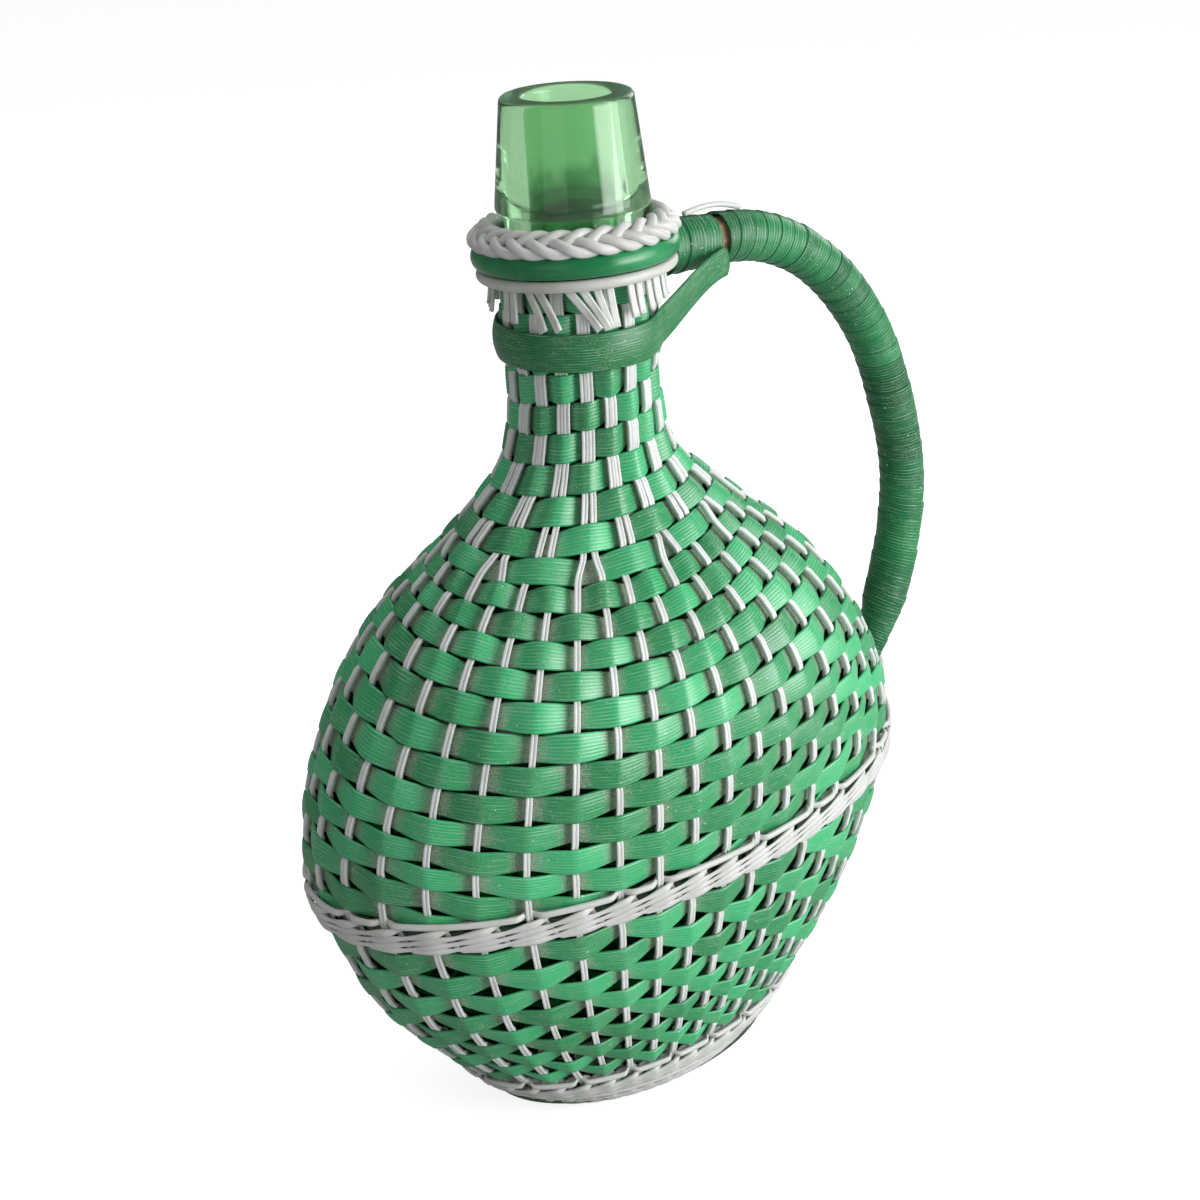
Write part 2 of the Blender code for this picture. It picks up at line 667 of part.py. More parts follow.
class HandleLine:
    """The handle's centreline, with its core's radius and its frame at any way along it."""

    def __init__(self):
        self.line, self.way = handle_line()
        self.length = self.way[-1]
        self.along = unit(np.gradient(self.line, axis=0))

    def point(self, way, angle, radius):
        """Point at a way along the line, turned round it and a radius out."""
        centre = np.array([np.interp(way, self.way, self.line[:, axis]) for axis in range(3)])
        along = unit(np.array([np.interp(way, self.way, self.along[:, axis])
                               for axis in range(3)]))
        above = np.array([-along[2], 0, along[0]])
        return centre + radius * (math.cos(angle) * above + math.sin(angle) * np.array([0, 1, 0]))

    def core_radius(self, way):
        """Radius of the core, thicker at the root and drawn in at the tip."""
        return np.interp(way, (0, self.length / 4, self.length - CORE_TIP_TAPER, self.length),
                         (CORE_RADIUS_ROOT, CORE_RADIUS_MIDDLE, CORE_RADIUS_MIDDLE,
                          CORE_RADIUS_TIP))

    def wrap_radius(self, way):
        """Radius of the wound ribbon's inner corners, which clears the core's round."""
        return (self.core_radius(way) + WRAP_CLEARANCE) / math.cos(math.pi / WRAP_POINTS)

    def grip_radius(self, way):
        """Radius of a piece that lies on the wound ribbon."""
        return self.wrap_radius(way) + WRAP_THICKNESS + WRAP_LAP + BORDER_GAP


def handle_core(handle, material, group):
    """Bundle of rods inside the handle, a tube curve with its own radius at each point."""
    ways = np.linspace(0, handle.length, CORE_POINTS)
    curve = bpy.data.curves.new("handle_core", "CURVE")
    curve.dimensions = "3D"
    curve.bevel_depth = CORE_RADIUS_MIDDLE
    curve.bevel_resolution = 2
    curve.use_fill_caps = True
    spline = curve.splines.new("POLY")
    spline.points.add(len(ways) - 1)
    for point, way in zip(spline.points, ways):
        point.co = (*handle.point(way, 0, 0), 1)
        point.radius = handle.core_radius(way) / CORE_RADIUS_MIDDLE
    return place(bpy.data.objects.new("handle_core", curve), material, group)


def winding(handle, name, start, end, turns, material, group):
    """Unbroken ribbon wound round the core, and the least gap between its turns."""
    pitch = (end - start) / (turns + 1)
    width = pitch - WRAP_GAP
    count = turns * WRAP_POINTS + 1
    sections = []
    for index in range(count):
        turn = index / WRAP_POINTS
        way = start + pitch * (turn + 0.5)
        angle = 2 * math.pi * turn
        before = way - width / 2
        after = way + width / 2
        inner = handle.wrap_radius(before)
        last = handle.wrap_radius(after)
        sections.append([handle.point(before, angle, inner),
                         handle.point(before, angle, inner + WRAP_THICKNESS),
                         handle.point(after, angle, last + WRAP_THICKNESS + WRAP_LAP),
                         handle.point(after, angle, last)])
    sections = np.array(sections)
    gaps = np.linalg.norm(sections[WRAP_POINTS:, 0] - sections[:-WRAP_POINTS, 3], axis=1)
    print(f"{name}: least gap between turns {1000 * gaps.min():.2f} mm")
    return loft(name, sections, False, material, group)


def keeper_strand(handle, start, end, material, group):
    """White strand that arches over the bare gap at the root's top."""
    curve = bpy.data.curves.new("keeper_strand", "CURVE")
    curve.dimensions = "3D"
    curve.bevel_depth = KEEPER_THICKNESS / 2
    curve.bevel_resolution = 1
    curve.use_fill_caps = True
    spline = curve.splines.new("POLY")
    shares = np.linspace(0, 1, KEEPER_POINTS)
    spline.points.add(len(shares) - 1)
    for point, share in zip(spline.points, shares):
        way = start + share * (end - start)
        base = handle.grip_radius(way) + KEEPER_THICKNESS / 2
        arch = KEEPER_RISE * math.sin(math.pi * share)
        point.co = (*handle.point(way, 0, base + arch), 1)
    return place(bpy.data.objects.new("keeper_strand", curve), material, group)


def handle_eyelet(handle, material, group):
    """White cord from the mid band, up over the outer side of the handle's tip and back."""
    way = handle.length - EYELET_REACH
    stand_off = handle.grip_radius(way) + EYELET_THICKNESS / 2
    crown = handle.point(way, 0, stand_off)
    foot_x = LONG_HALF + STRAND_THICKNESS + STRAND_SWING + EYELET_THICKNESS / 2
    foot_z = MID_BAND_HEIGHT + BAND_SLANT_SHARE * foot_x - EYELET_DROP
    curve = bpy.data.curves.new("handle_eyelet", "CURVE")
    curve.dimensions = "3D"
    curve.bevel_depth = EYELET_THICKNESS / 2
    curve.bevel_resolution = 1
    curve.use_fill_caps = True
    spline = curve.splines.new("POLY")
    angles = np.linspace(0, math.pi, EYELET_POINTS)
    spline.points.add(len(angles) - 1)
    for point, angle in zip(spline.points, angles):
        share = math.sin(angle)
        point.co = (foot_x + share * (crown[0] - foot_x), stand_off * math.cos(angle),
                    foot_z + share * (crown[2] - foot_z), 1)
    return place(bpy.data.objects.new("handle_eyelet", curve), material, group)


def neck_sling(handle, material, group):
    """Wide ribbon round the neck, both ends rising along the sides of the handle's root."""
    radius = NECK_OUTLINE_SHARES[-2][1] * NECK_HALF + SLING_EASE
    flank = handle.grip_radius(0)
    far_x = handle.point(ROOT_WRAP_LENGTH, 0, 0)[0]
    round_part = [(radius * math.cos(angle), radius * math.sin(angle), 0)
                  for angle in np.linspace(SLING_LEAVE, math.pi, SLING_ROUND_POINTS)]
    start = np.array([far_x, flank, 0])
    lead = np.linspace(start, round_part[0], SLING_LEAD_POINTS)[:-1]
    half = [tuple(point) for point in lead] + round_part
    half = np.array(half)
    way = travelled(half)
    climb_way = way[len(lead)] + radius * (SLING_CLIMB - SLING_LEAVE)
    rise = np.clip(1 - way / climb_way, 0, 1)
    rise = rise * rise * (3 - 2 * rise)
    half[:, 2] = SLING_HEIGHT + rise * SLING_RISE
    width = SLING_WIDTH + rise * (SLING_END_WIDTH - SLING_WIDTH)
    other = half[::-1][1:] * (1, -1, 1)
    line = np.vstack([half, other])
    width = np.concatenate([width, width[::-1][1:]])
    along = unit(np.gradient(line, axis=0) * (1, 1, 0))
    outwards = np.stack([along[:, 1], -along[:, 0], 0 * width], axis=1)
    if np.dot(outwards[len(outwards) // 2], line[len(line) // 2]) < 0:
        outwards = -outwards
    up = np.array([0, 0, 1]) * (width / 2)[:, None]
    outer = line + outwards * SLING_THICKNESS
    sections = np.stack([line - up, line + up, outer + up, outer - up], axis=1)
    return loft("neck_sling", sections, False, material, group)


def build():
    """Make every part."""
    clear_scene()
    group = new_collection("Demijohn")
    cutters = new_collection("Cutters")
    green = new_material("ribbon_green", GREEN, 0.45)
    dark = new_material("hoop_green", DARK_GREEN, 0.35)
    white = new_material("strand_white", WHITE, 0.5)
    glass = new_material("bottle_glass", GLASS_GREEN, 0.05, 0.9)
    cane = new_material("core_cane", CANE, 0.8)
    jacket = Jacket()
    glass_bottle(jacket, glass, group)
    stake_frame(jacket, white, group, cutters)
    weave_rows(jacket, green, group)
    white_bands(jacket, white, group)
    woven_floor(white, group)
    neck_border((dark, white), group)
    stake_ends(white, group)
    handle = HandleLine()
    handle_core(handle, cane, group)
    wrap_start = ROOT_WRAP_LENGTH + ROOT_BARE_LENGTH
    winding(handle, "handle_root_wrap", 0, ROOT_WRAP_LENGTH, ROOT_TURNS - 1, green, group)
    winding(handle, "handle_wrap", wrap_start, handle.length, WRAP_TURNS, green, group)
    keeper_strand(handle, ROOT_WRAP_LENGTH / 2, wrap_start + ROOT_WRAP_LENGTH / 2, white, group)
    handle_eyelet(handle, white, group)
    neck_sling(handle, dark, group)


build()
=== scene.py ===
import math

import bpy
import numpy as np
from mathutils import Matrix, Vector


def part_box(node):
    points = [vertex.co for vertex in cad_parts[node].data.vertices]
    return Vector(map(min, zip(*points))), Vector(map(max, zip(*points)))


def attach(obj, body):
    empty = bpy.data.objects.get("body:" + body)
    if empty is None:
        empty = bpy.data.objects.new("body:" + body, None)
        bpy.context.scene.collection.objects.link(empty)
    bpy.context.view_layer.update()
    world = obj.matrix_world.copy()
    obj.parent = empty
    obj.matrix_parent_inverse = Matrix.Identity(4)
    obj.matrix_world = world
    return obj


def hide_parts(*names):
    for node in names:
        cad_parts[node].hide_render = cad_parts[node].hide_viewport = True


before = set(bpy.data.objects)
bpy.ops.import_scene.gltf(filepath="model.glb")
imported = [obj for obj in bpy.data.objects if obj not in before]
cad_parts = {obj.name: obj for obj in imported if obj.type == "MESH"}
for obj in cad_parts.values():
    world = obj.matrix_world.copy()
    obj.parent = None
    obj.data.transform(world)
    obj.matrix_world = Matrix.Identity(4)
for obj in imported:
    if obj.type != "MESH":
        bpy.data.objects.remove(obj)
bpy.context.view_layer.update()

# Jacket outline, in the sizes and shares that the solids have
LONG_HALF = 0.1078
SHORT_HALF = 0.0678
NECK_HALF = 0.0237
WEAVE_TOP = 0.276
BODY_OUTLINE_SHARES = (
    (0.004, 0.392, 0.430),
    (0.054, 0.545, 0.563),
    (0.127, 0.726, 0.699),
    (0.199, 0.859, 0.799),
    (0.272, 0.940, 0.878),
    (0.344, 0.995, 0.941),
    (0.417, 0.994, 0.984),
    (0.489, 0.930, 1.000),
    (0.562, 0.828, 0.958),
    (0.634, 0.686, 0.797),
    (0.707, 0.479, 0.528),
)
NECK_OUTLINE_SHARES = (
    (0.779, 1.280, 1.050),
    (0.851, 1.020, 1.000),
    (0.925, 1.030, 1.030),
    (1.000, 1.010, 1.010),
)
SPLINE_STEPS = 24

# Stakes and rows
NECK_STAKES = 20
STAKES = 2 * NECK_STAKES
PAIR_SHARE_NECK = 0.13
PAIR_SHARE_BODY = 0.25
STAKE_EVENNESS_SHARE = 0.6
STAKE_PHASE_SHARE = 0.15
STAKE_THICKNESS = 0.0016
STAKE_WIDTH_NECK = 0.00195
STAKE_WIDTH_BODY = 0.0020
STAKE_GROOVE = 0.00022
STAKE_DEPTH_IN = 0.00155
STAKE_DEPTH_OUT = 0.00055
STAKE_FOOT_LEVEL = 0.0085
RIBBON_THICKNESS = 0.0007
RIBBON_RIBS = 8
RIBBON_RIB = 0.00011
RIBBON_CROWN = 0.00025
ROW_GAP = 0.00025
NECK_ROWS = 9
PAIR_ROWS = 1
UPPER_ROWS = 21
LOWER_ROWS = 9
LOWEST_ROW_SHARE = 0.70
LOWEST_ROW_EDGE = 0.0055
ROW_WANDER = 0.00012
ROW_RIPPLE = 0.0001
TUCK_DEPTH = 0.0007
TUCK_BEGIN_ABOVE = 0.0025
TUCK_FULL_BELOW = 0.0010
TUCK_REACH = 0.0030
CROSS_DEPTH_NECK = 0.0036
CROSS_DEPTH_BODY = 0.0027

# Rows above the mid band sway round the oval; short rows fill what that leaves at its ends
SWAY_PLACE_SHARES = (0, 0.17, 0.31, 0.64, 0.79, 0.88, 1)
SWAY_TILT_SHARES = (0, 0.050, 0.014, -0.021, -0.036, -0.018, -0.024)
SWAY_DISH_SHARES = (0, 0.012, 0.003, 0.036, 0.032, 0.050, 0.079)
SWAY_SKEW_SHARES = (0, 0.012, 0.005, -0.034, -0.045, -0.048, -0.065)
SWAY_FRONT_SHARE = 0.6875
SHORT_ROWS = 3
SHORT_ROW_LEAST = 0.0024

# Bands, on levels that rise towards the handle
BAND_SLANT_SHARE = 0.04
MID_BAND_HEIGHT = 0.0960
MID_BAND_WIDTH = 0.0126
FOOT_BAND_TOP = 0.0215
FOOT_BAND_WIDTH = 0.0112
FOOT_EDGE_DROP = 0.0106
FOOT_EDGE_WIDTH = 0.0068
BAND_OVERLAP = 0.0008
STRAND_STAND_OUT = 0.0007
STRAND_DIVE = 0.0030
TOP_STRAND_RADIUS = 0.0011

# Woven base
BASE_RINGS = 16
BASE_STRAND_RADIUS = 0.00115
BASE_STRAND_HEIGHT = 0.0017
BASE_STRAND_SWING = 0.0006

# Glass
GLASS_DEPTH_EXTRA = 0.0013
GLASS_WALL = 0.0040
GLASS_WALL_NECK = 0.0060
GLASS_BOTTOM = 0.0050
GLASS_FLOOR = 0.0070
COLLAR_FOOT_HEIGHT = WEAVE_TOP + 0.0152
RIM_HEIGHT = COLLAR_FOOT_HEIGHT + 0.0338
COLLAR_FOOT_RADIUS = 0.0231
COLLAR_TOP_RADIUS = 0.0198
COLLAR_ROUNDING = 0.0018
BORE_RADIUS = 0.0130
GLASS_LOWEST_LEVEL = 0.012
GLASS_SHADE_TOP = 0.2880
GLASS_SHADE_FULL = 0.2840
INNER_EDGE_HEIGHT = 0.3000
GLASS_CORNERS = 128

# Neck border
BORDER_SLANT = math.radians(2.4)
BRAID_RADIUS = 0.0280
BRAID_HEIGHT = 0.2866
BRAID_STRANDS = 5
BRAID_PERIODS = 5
BRAID_SWING = 0.0035
BRAID_CROSSING = 0.0011
BRAID_ARC_RADIUS = 0.0043
BRAID_STRAND_RADIUS = 0.00162
HOOP_RADIUS = 0.0288
HOOP_HEIGHT = 0.2793
HOOP_DEPTH = 0.0050
HOOP_TALL = 0.0066
WHITE_HOOP_RADIUS = 0.0287
WHITE_HOOP_HEIGHT = 0.2740
WHITE_HOOP_DEPTH = 0.0030
WHITE_HOOP_TALL = 0.0034
TIP_WIDTH = 0.0023
TIP_THICKNESS = 0.0009
TIP_LENGTH = 0.0134
TIP_TOP = 0.2745
TIP_RADIUS = 0.0257
# Angle and lean in degrees, share of the full length, dust
TIPS = (
    (162, 2, 0.80, 0.75), (182, 4, 0.88, 0.45), (188, 7, 0.88, 0.35),
    (199, 32, 0.95, 0.45), (206, 36, 0.92, 0.15), (226, 40, 0.92, 0.05),
    (236, 31, 0.95, 0.05), (246, 16, 0.98, 0.10), (255, 6, 0.98, 0.05),
    (270, 5, 0.85, 0.15), (277, 3, 0.82, 0.60), (286, 4, 0.80, 0.15),
    (294, 3, 0.76, 0.55), (306, 2, 0.72, 0.20), (316, -4, 0.72, 0.30),
)

# Sling round the neck
SLING_WIDTH = 0.0114
SLING_END_WIDTH = 0.0090
SLING_THICKNESS = 0.0010
SLING_RIBS = 14
SLING_RIB = 0.00007
SLING_HEIGHT = 0.2540
SLING_RISE = 0.0130
SLING_EASE = 0.0006
SLING_LEAVE = math.radians(52)
SLING_CLIMB = math.radians(80)

# Handle
HANDLE_STAND_OFF = 0.0235
HANDLE_ROOT_DROP = 0.0065
HANDLE_TIP_RISE = 0.0115
CORE_RADIUS_ROOT = 0.0068
CORE_RADIUS_MIDDLE = 0.0061
CORE_RADIUS_TIP = 0.0016
CORE_TIP_TAPER = 0.0260
ROOT_WRAP_LENGTH = 0.0180
ROOT_BARE_LENGTH = 0.0030
WRAP_TURNS = 38
ROOT_TURNS = 3
WRAP_RIBS = 6
WRAP_RIB = 0.00008
WRAP_TURN_LENGTH = 0.044
WRAP_SEAT = 0.0007
WRAP_THICKNESS = 0.0006
WRAP_LAP = 0.00028
KEEPER_THICKNESS = 0.0018
KEEPER_RISE = 0.0014
EYELET_THICKNESS = 0.0028
EYELET_REACH = 0.0040
EYELET_DROP = 0.0045
EYELET_STAND_OFF = 0.0024
TIP_STAND_OFF = 0.0019
BORDER_GAP = 0.0003
# Shares of the way out from the root or tip, and of the way up
HANDLE_UPPER_SHARES = (
    (0.000, 1.000),
    (0.134, 0.999),
    (0.267, 0.994),
    (0.401, 0.978),
    (0.545, 0.938),
    (0.678, 0.875),
    (0.781, 0.802),
    (0.869, 0.714),
    (0.935, 0.606),
    (0.981, 0.498),
    (1.000, 0.402),
)
HANDLE_LOWER_SHARES = (
    (0.930, 0.305),
    (0.745, 0.215),
    (0.480, 0.130),
    (0.225, 0.057),
    (0.000, 0.000),
)

# Studio: camera, and lamps with their place, aim, size and power
CAMERA_PLACE = (-0.3759, -0.5379, 0.4385)
CAMERA_AHEAD = (0.5300, 0.7562, -0.3836)
CAMERA_UP = (0.2698, 0.2785, 0.9218)
CAMERA_LENS = 67.53
FLOOR_REACH = 6.0
LAMPS = (
    ("key", (0.90, -1.29, 0.62), (0, 0, 0.14), 1.4, 22),
    ("low", (0.56, -1.16, 0.24), (0, 0, 0.12), 0.8, 9),
    ("fill", (-1.2, -0.7, 0.7), (0, 0, 0.14), 1.0, 1.6),
    ("top", (0.0, 0.2, 1.5), (0, 0, 0.15), 0.8, 3.5),
    ("rear", (1.3, 0.45, 0.55), (0, 0, 0.16), 0.6, 3.0),
)

rng = np.random.default_rng(7)


def smooth_through(points, steps):
    """Smooth curve through points: b + (c-a)s/2 + (2a-5b+4c-d)s^2/2 + (3b-a-3c+d)s^3/2."""
    points = np.asarray(points, dtype=float)
    first = 2 * points[0] - points[1]
    last = 2 * points[-1] - points[-2]
    line = np.vstack([first, points, last])
    share = np.linspace(0, 1, steps, endpoint=False)[:, None]
    spans = []
    for a, b, c, d in zip(line, line[1:], line[2:], line[3:]):
        spans.append(0.5 * (2 * b + (c - a) * share + (2 * a - 5 * b + 4 * c - d) * share ** 2
                            + (3 * b - a - 3 * c + d) * share ** 3))
    return np.vstack(spans + [points[-1:]])


def unit(vectors):
    """Vectors divided by their lengths."""
    return vectors / np.linalg.norm(vectors, axis=-1, keepdims=True)


def travelled(points):
    """Distance along a line of points, zero at the first."""
    steps = np.linalg.norm(np.diff(points, axis=-2), axis=-1)
    start = np.zeros(steps.shape[:-1] + (1,))
    return np.concatenate([start, np.cumsum(steps, axis=-1)], axis=-1)


def smooth_step(low, high, value):
    """0 below low, 1 above high, 3s^2 - 2s^3 between."""
    share = np.clip((value - low) / (high - low), 0, 1)
    return share * share * (3 - 2 * share)


def falling_step(high, low, value):
    """0 above high, 1 below low, and as smooth between."""
    return smooth_step(-high, -low, -value)


# The jacket's outer face

OUTLINE = smooth_through(
    [(h * WEAVE_TOP, a * LONG_HALF, b * SHORT_HALF) for h, a, b in BODY_OUTLINE_SHARES]
    + [(h * WEAVE_TOP, a * NECK_HALF, b * NECK_HALF) for h, a, b in NECK_OUTLINE_SHARES],
    SPLINE_STEPS)
OUT_HEIGHT, OUT_LONG, OUT_SHORT = OUTLINE.T
LONG_SLOPE = np.gradient(OUT_LONG, OUT_HEIGHT)
SHORT_SLOPE = np.gradient(OUT_SHORT, OUT_HEIGHT)


def skin_frame(share, level):
    """Point, normal and level tangent of the outer face at a share of a turn and a level.

    The face is (a cos t, b sin t, z), with t = 2 pi share + e (a-b)/(a+b) sin(4 pi share),
    and a and b the half sizes at z = level + slant x."""
    share, level = np.broadcast_arrays(np.asarray(share, float), np.asarray(level, float))
    height = level.copy()
    turn = 2 * math.pi * share
    for _ in range(6):
        long = np.interp(height, OUT_HEIGHT, OUT_LONG)
        short = np.interp(height, OUT_HEIGHT, OUT_SHORT)
        oval = (long - short) / (long + short)
        angle = turn + STAKE_EVENNESS_SHARE * oval * np.sin(2 * turn)
        height = level + BAND_SLANT_SHARE * long * np.cos(angle)
    cos, sin = np.cos(angle), np.sin(angle)
    point = np.stack([long * cos, short * sin, height], axis=-1)
    lift = (-long * np.interp(height, OUT_HEIGHT, SHORT_SLOPE) * sin ** 2
            - short * np.interp(height, OUT_HEIGHT, LONG_SLOPE) * cos ** 2)
    normal = unit(np.stack([short * cos, long * sin, lift], axis=-1))
    tangent = unit(np.stack([-long * sin, short * cos, 0 * cos], axis=-1))
    return point, normal, tangent


def skin(share, level, depth=0.0, aside=0.0):
    """Point at a depth under the outer face, moved aside along its level tangent."""
    point, normal, tangent = skin_frame(share, level)
    depth = np.asarray(depth, float)[..., None]
    aside = np.asarray(aside, float)[..., None]
    return point - depth * normal + aside * tangent


BAND_TOP = MID_BAND_HEIGHT + MID_BAND_WIDTH / 2
BAND_BOTTOM = MID_BAND_HEIGHT - MID_BAND_WIDTH / 2


def row_edges():
    """Levels of the rows' edges: even steps down the front, then of the mean way down."""
    share = ((np.arange(NECK_STAKES) + STAKE_PHASE_SHARE) / NECK_STAKES)[:, None]
    grid = np.linspace(WEAVE_TOP - 0.001, LOWEST_ROW_EDGE, 400)
    mean_way = travelled(skin(share, grid[None, :])).mean(axis=0)
    front_way = travelled(skin(SWAY_FRONT_SHARE, grid))

    def edges_between(high, low, shares, way):
        first, last = np.interp((-high, -low), -grid, way)
        return np.interp(first + shares * (last - first), way, grid)

    even = np.arange(UPPER_ROWS + SHORT_ROWS + 1) / UPPER_ROWS
    widths = np.linspace(1, LOWEST_ROW_SHARE, LOWER_ROWS)
    tapering = np.concatenate([[0], np.cumsum(widths)]) / widths.sum()
    return (edges_between(grid[0], BAND_TOP, even, front_way),
            edges_between(BAND_BOTTOM, FOOT_BAND_TOP, tapering, mean_way))


BASE_EDGES, LOWER_EDGES = row_edges()
SPLIT_LEVEL = BASE_EDGES[NECK_ROWS]
OPEN_LEVEL = BASE_EDGES[NECK_ROWS + PAIR_ROWS]


def sway(share, place):
    """Rise over the slanted levels: a cos t + b cos 2t + c sin 2t, less that at the front."""
    tilt, dish, skew = (LONG_HALF * np.interp(np.asarray(place) / UPPER_ROWS,
                                              SWAY_PLACE_SHARES, shares)
                        for shares in (SWAY_TILT_SHARES, SWAY_DISH_SHARES, SWAY_SKEW_SHARES))

    def rise(turn_share):
        angle = 2 * math.pi * turn_share
        return tilt * np.cos(angle) + dish * np.cos(2 * angle) + skew * np.sin(2 * angle)

    return rise(share) - rise(SWAY_FRONT_SHARE)


def upper_level(share, place):
    """Level of a place among the upper rows: whole numbers are the rows' upper edges."""
    return np.interp(place, np.arange(len(BASE_EDGES)), BASE_EDGES) + sway(share, place)


def stake_share(stake, place):
    """Share of a turn of stake numbers, straight between whole numbers, pairs opening."""
    low = np.floor(stake)
    part = stake - low
    opening = PAIR_SHARE_NECK + ((PAIR_SHARE_BODY - PAIR_SHARE_NECK)
                                 * smooth_step(NECK_ROWS, NECK_ROWS + PAIR_ROWS, place))

    def whole(number):
        side = np.where(number % 2 < 0.5, -1.0, 1.0)
        return (np.floor(number / 2) + STAKE_PHASE_SHARE + side * opening) / NECK_STAKES

    return (1 - part) * whole(low) + part * whole(low + 1)


def cross_depth(level):
    """Depth of a ribbon's outer face where it goes under a stake."""
    return np.interp(-np.asarray(level), (-OPEN_LEVEL, -BAND_TOP),
                     (CROSS_DEPTH_NECK, CROSS_DEPTH_BODY))


# Meshes from grids of points

def grid_part(points, along=None, across=None, closed_along=True, **values):
    """Quads over a grid of closed rings, its map of along and across, and its values.

    An open row of rings has a cap at each end."""
    rings, corners, _ = points.shape
    ring, corner = np.meshgrid(np.arange(rings if closed_along else rings - 1),
                               np.arange(corners), indexing="ij")
    after = (ring + 1) % rings
    beside = (corner + 1) % corners
    quads = np.stack([ring * corners + corner, ring * corners + beside,
                      after * corners + beside, after * corners + corner], axis=-1)
    along = np.arange(rings + 1.0) if along is None else np.asarray(along)
    across = np.linspace(0, 1, corners + 1) if across is None else np.asarray(across)
    if len(along) == rings:
        along = np.append(along, 2 * along[-1] - along[-2])
    if len(across) == corners:
        across = np.append(across, 2 * across[-1] - across[-2])
    u = np.stack([along[ring], along[ring], along[ring + 1], along[ring + 1]], axis=-1)
    v = np.stack([across[corner], across[corner + 1], across[corner + 1], across[corner]],
                 axis=-1)
    ends = np.zeros((0, corners), int)
    if not closed_along:
        ends = np.stack([np.arange(corners)[::-1], (rings - 1) * corners + np.arange(corners)])
    flat = {name: np.broadcast_to(value, (rings, corners)).ravel()
            for name, value in values.items()}
    return {"points": points.reshape(-1, 3), "quads": quads.reshape(-1, 4), "ends": ends,
            "map": np.stack([u, v], axis=-1).reshape(-1, 2), "values": flat}


def turned_outwards(part):
    """Turn a part's faces outwards: its volume, a sum of a.(b x c)/6, is then positive."""
    points, quads, ends = part["points"], part["quads"], part["ends"]
    volume = 0.0
    for faces in (quads, ends):
        if len(faces) == 0:
            continue
        for step in range(1, faces.shape[1] - 1):
            a, b, c = (points[faces[:, index]] for index in (0, step, step + 1))
            volume += np.einsum("ij,ij->i", a, np.cross(b, c)).sum()
    if volume < 0:
        part["quads"] = quads[:, ::-1]
        part["ends"] = ends[:, ::-1]
        part["map"] = part["map"].reshape(-1, 4, 2)[:, ::-1].reshape(-1, 2)


def mesh_object(name, parts, material):
    """One smooth mesh object of grid parts, with a map and the parts' named values."""
    points, loops, starts, places = [], [], [], []
    values = {}
    start, corner_start = 0, 0
    for part in parts:
        turned_outwards(part)
        points.append(part["points"])
        for faces, uv in ((part["quads"], part["map"]),
                          (part["ends"], np.zeros((part["ends"].size, 2)))):
            if len(faces) == 0:
                continue
            loops.append((faces + start).ravel())
            starts.append(corner_start + faces.shape[1] * np.arange(len(faces)))
            places.append(uv)
            corner_start += faces.size
        for key, value in part["values"].items():
            values.setdefault(key, []).append(value)
        start += len(part["points"])
    mesh = bpy.data.meshes.new(name)
    points = np.concatenate(points)
    loops = np.concatenate(loops)
    starts = np.concatenate(starts)
    mesh.vertices.add(len(points))
    mesh.loops.add(len(loops))
    mesh.polygons.add(len(starts))
    mesh.vertices.foreach_set("co", points.ravel())
    mesh.loops.foreach_set("vertex_index", loops)
    mesh.polygons.foreach_set("loop_start", starts)
    mesh.update(calc_edges=True)
    layer = mesh.uv_layers.new(name="map")
    layer.data.foreach_set("uv", np.concatenate(places).ravel())
    for key, value in values.items():
        field = mesh.attributes.new(key, "FLOAT", "POINT")
        field.data.foreach_set("value", np.concatenate(value).astype(np.float32))
    mesh.polygons.foreach_set("use_smooth", np.ones(len(starts), bool))
    mesh.validate()
    mesh.materials.append(material)
    thing = bpy.data.objects.new(name, mesh)
    bpy.context.scene.collection.objects.link(thing)
    return thing


def piece(name, parts, material, slot, *nodes):
    """Mesh object that stands for CAD nodes and takes the given material; its slot is not used."""
    thing = mesh_object(name, parts, material)
    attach(thing, "root")
    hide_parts(*nodes)
    return thing


def round_section(corners):
    """Cosines and sines of a round section's corners."""
    angle = 2 * math.pi * np.arange(corners) / corners
    return np.cos(angle), np.sin(angle)


def around(angle):
    """Unit vectors (cos t, sin t, 0)."""
    return np.stack([np.cos(angle), np.sin(angle), 0 * angle], axis=-1)


def tube(line, radius, side, up, corners=10, flatten=1.0):
    """Rings round a line: line + r(cos u side + sin u up)."""
    cos, sin = round_section(corners)
    radius = np.broadcast_to(radius, line.shape[:-1])[..., None, None]
    return (line[:, None, :] + radius * cos[None, :, None] * side[:, None, :]
            + flatten * radius * sin[None, :, None] * up[:, None, :])


def frames_along(line, lead, closed):
    """Sideways and upward unit vectors across a line, the upward one nearest to lead."""
    if closed:
        ahead = unit(np.roll(line, -1, axis=0) - np.roll(line, 1, axis=0))
    else:
        ahead = unit(np.gradient(line, axis=0))
    side = unit(np.cross(ahead, lead))
    return side, np.cross(side, ahead)


def strand(line, lead, radius, along, corners, flatten=1.0, closed=True, **values):
    """Tube along a line, its flatter side facing the lead."""
    side, up = frames_along(line, lead, closed)
    return grid_part(tube(line, radius, side, up, corners, flatten), along,
                     closed_along=closed, **values)


# Materials

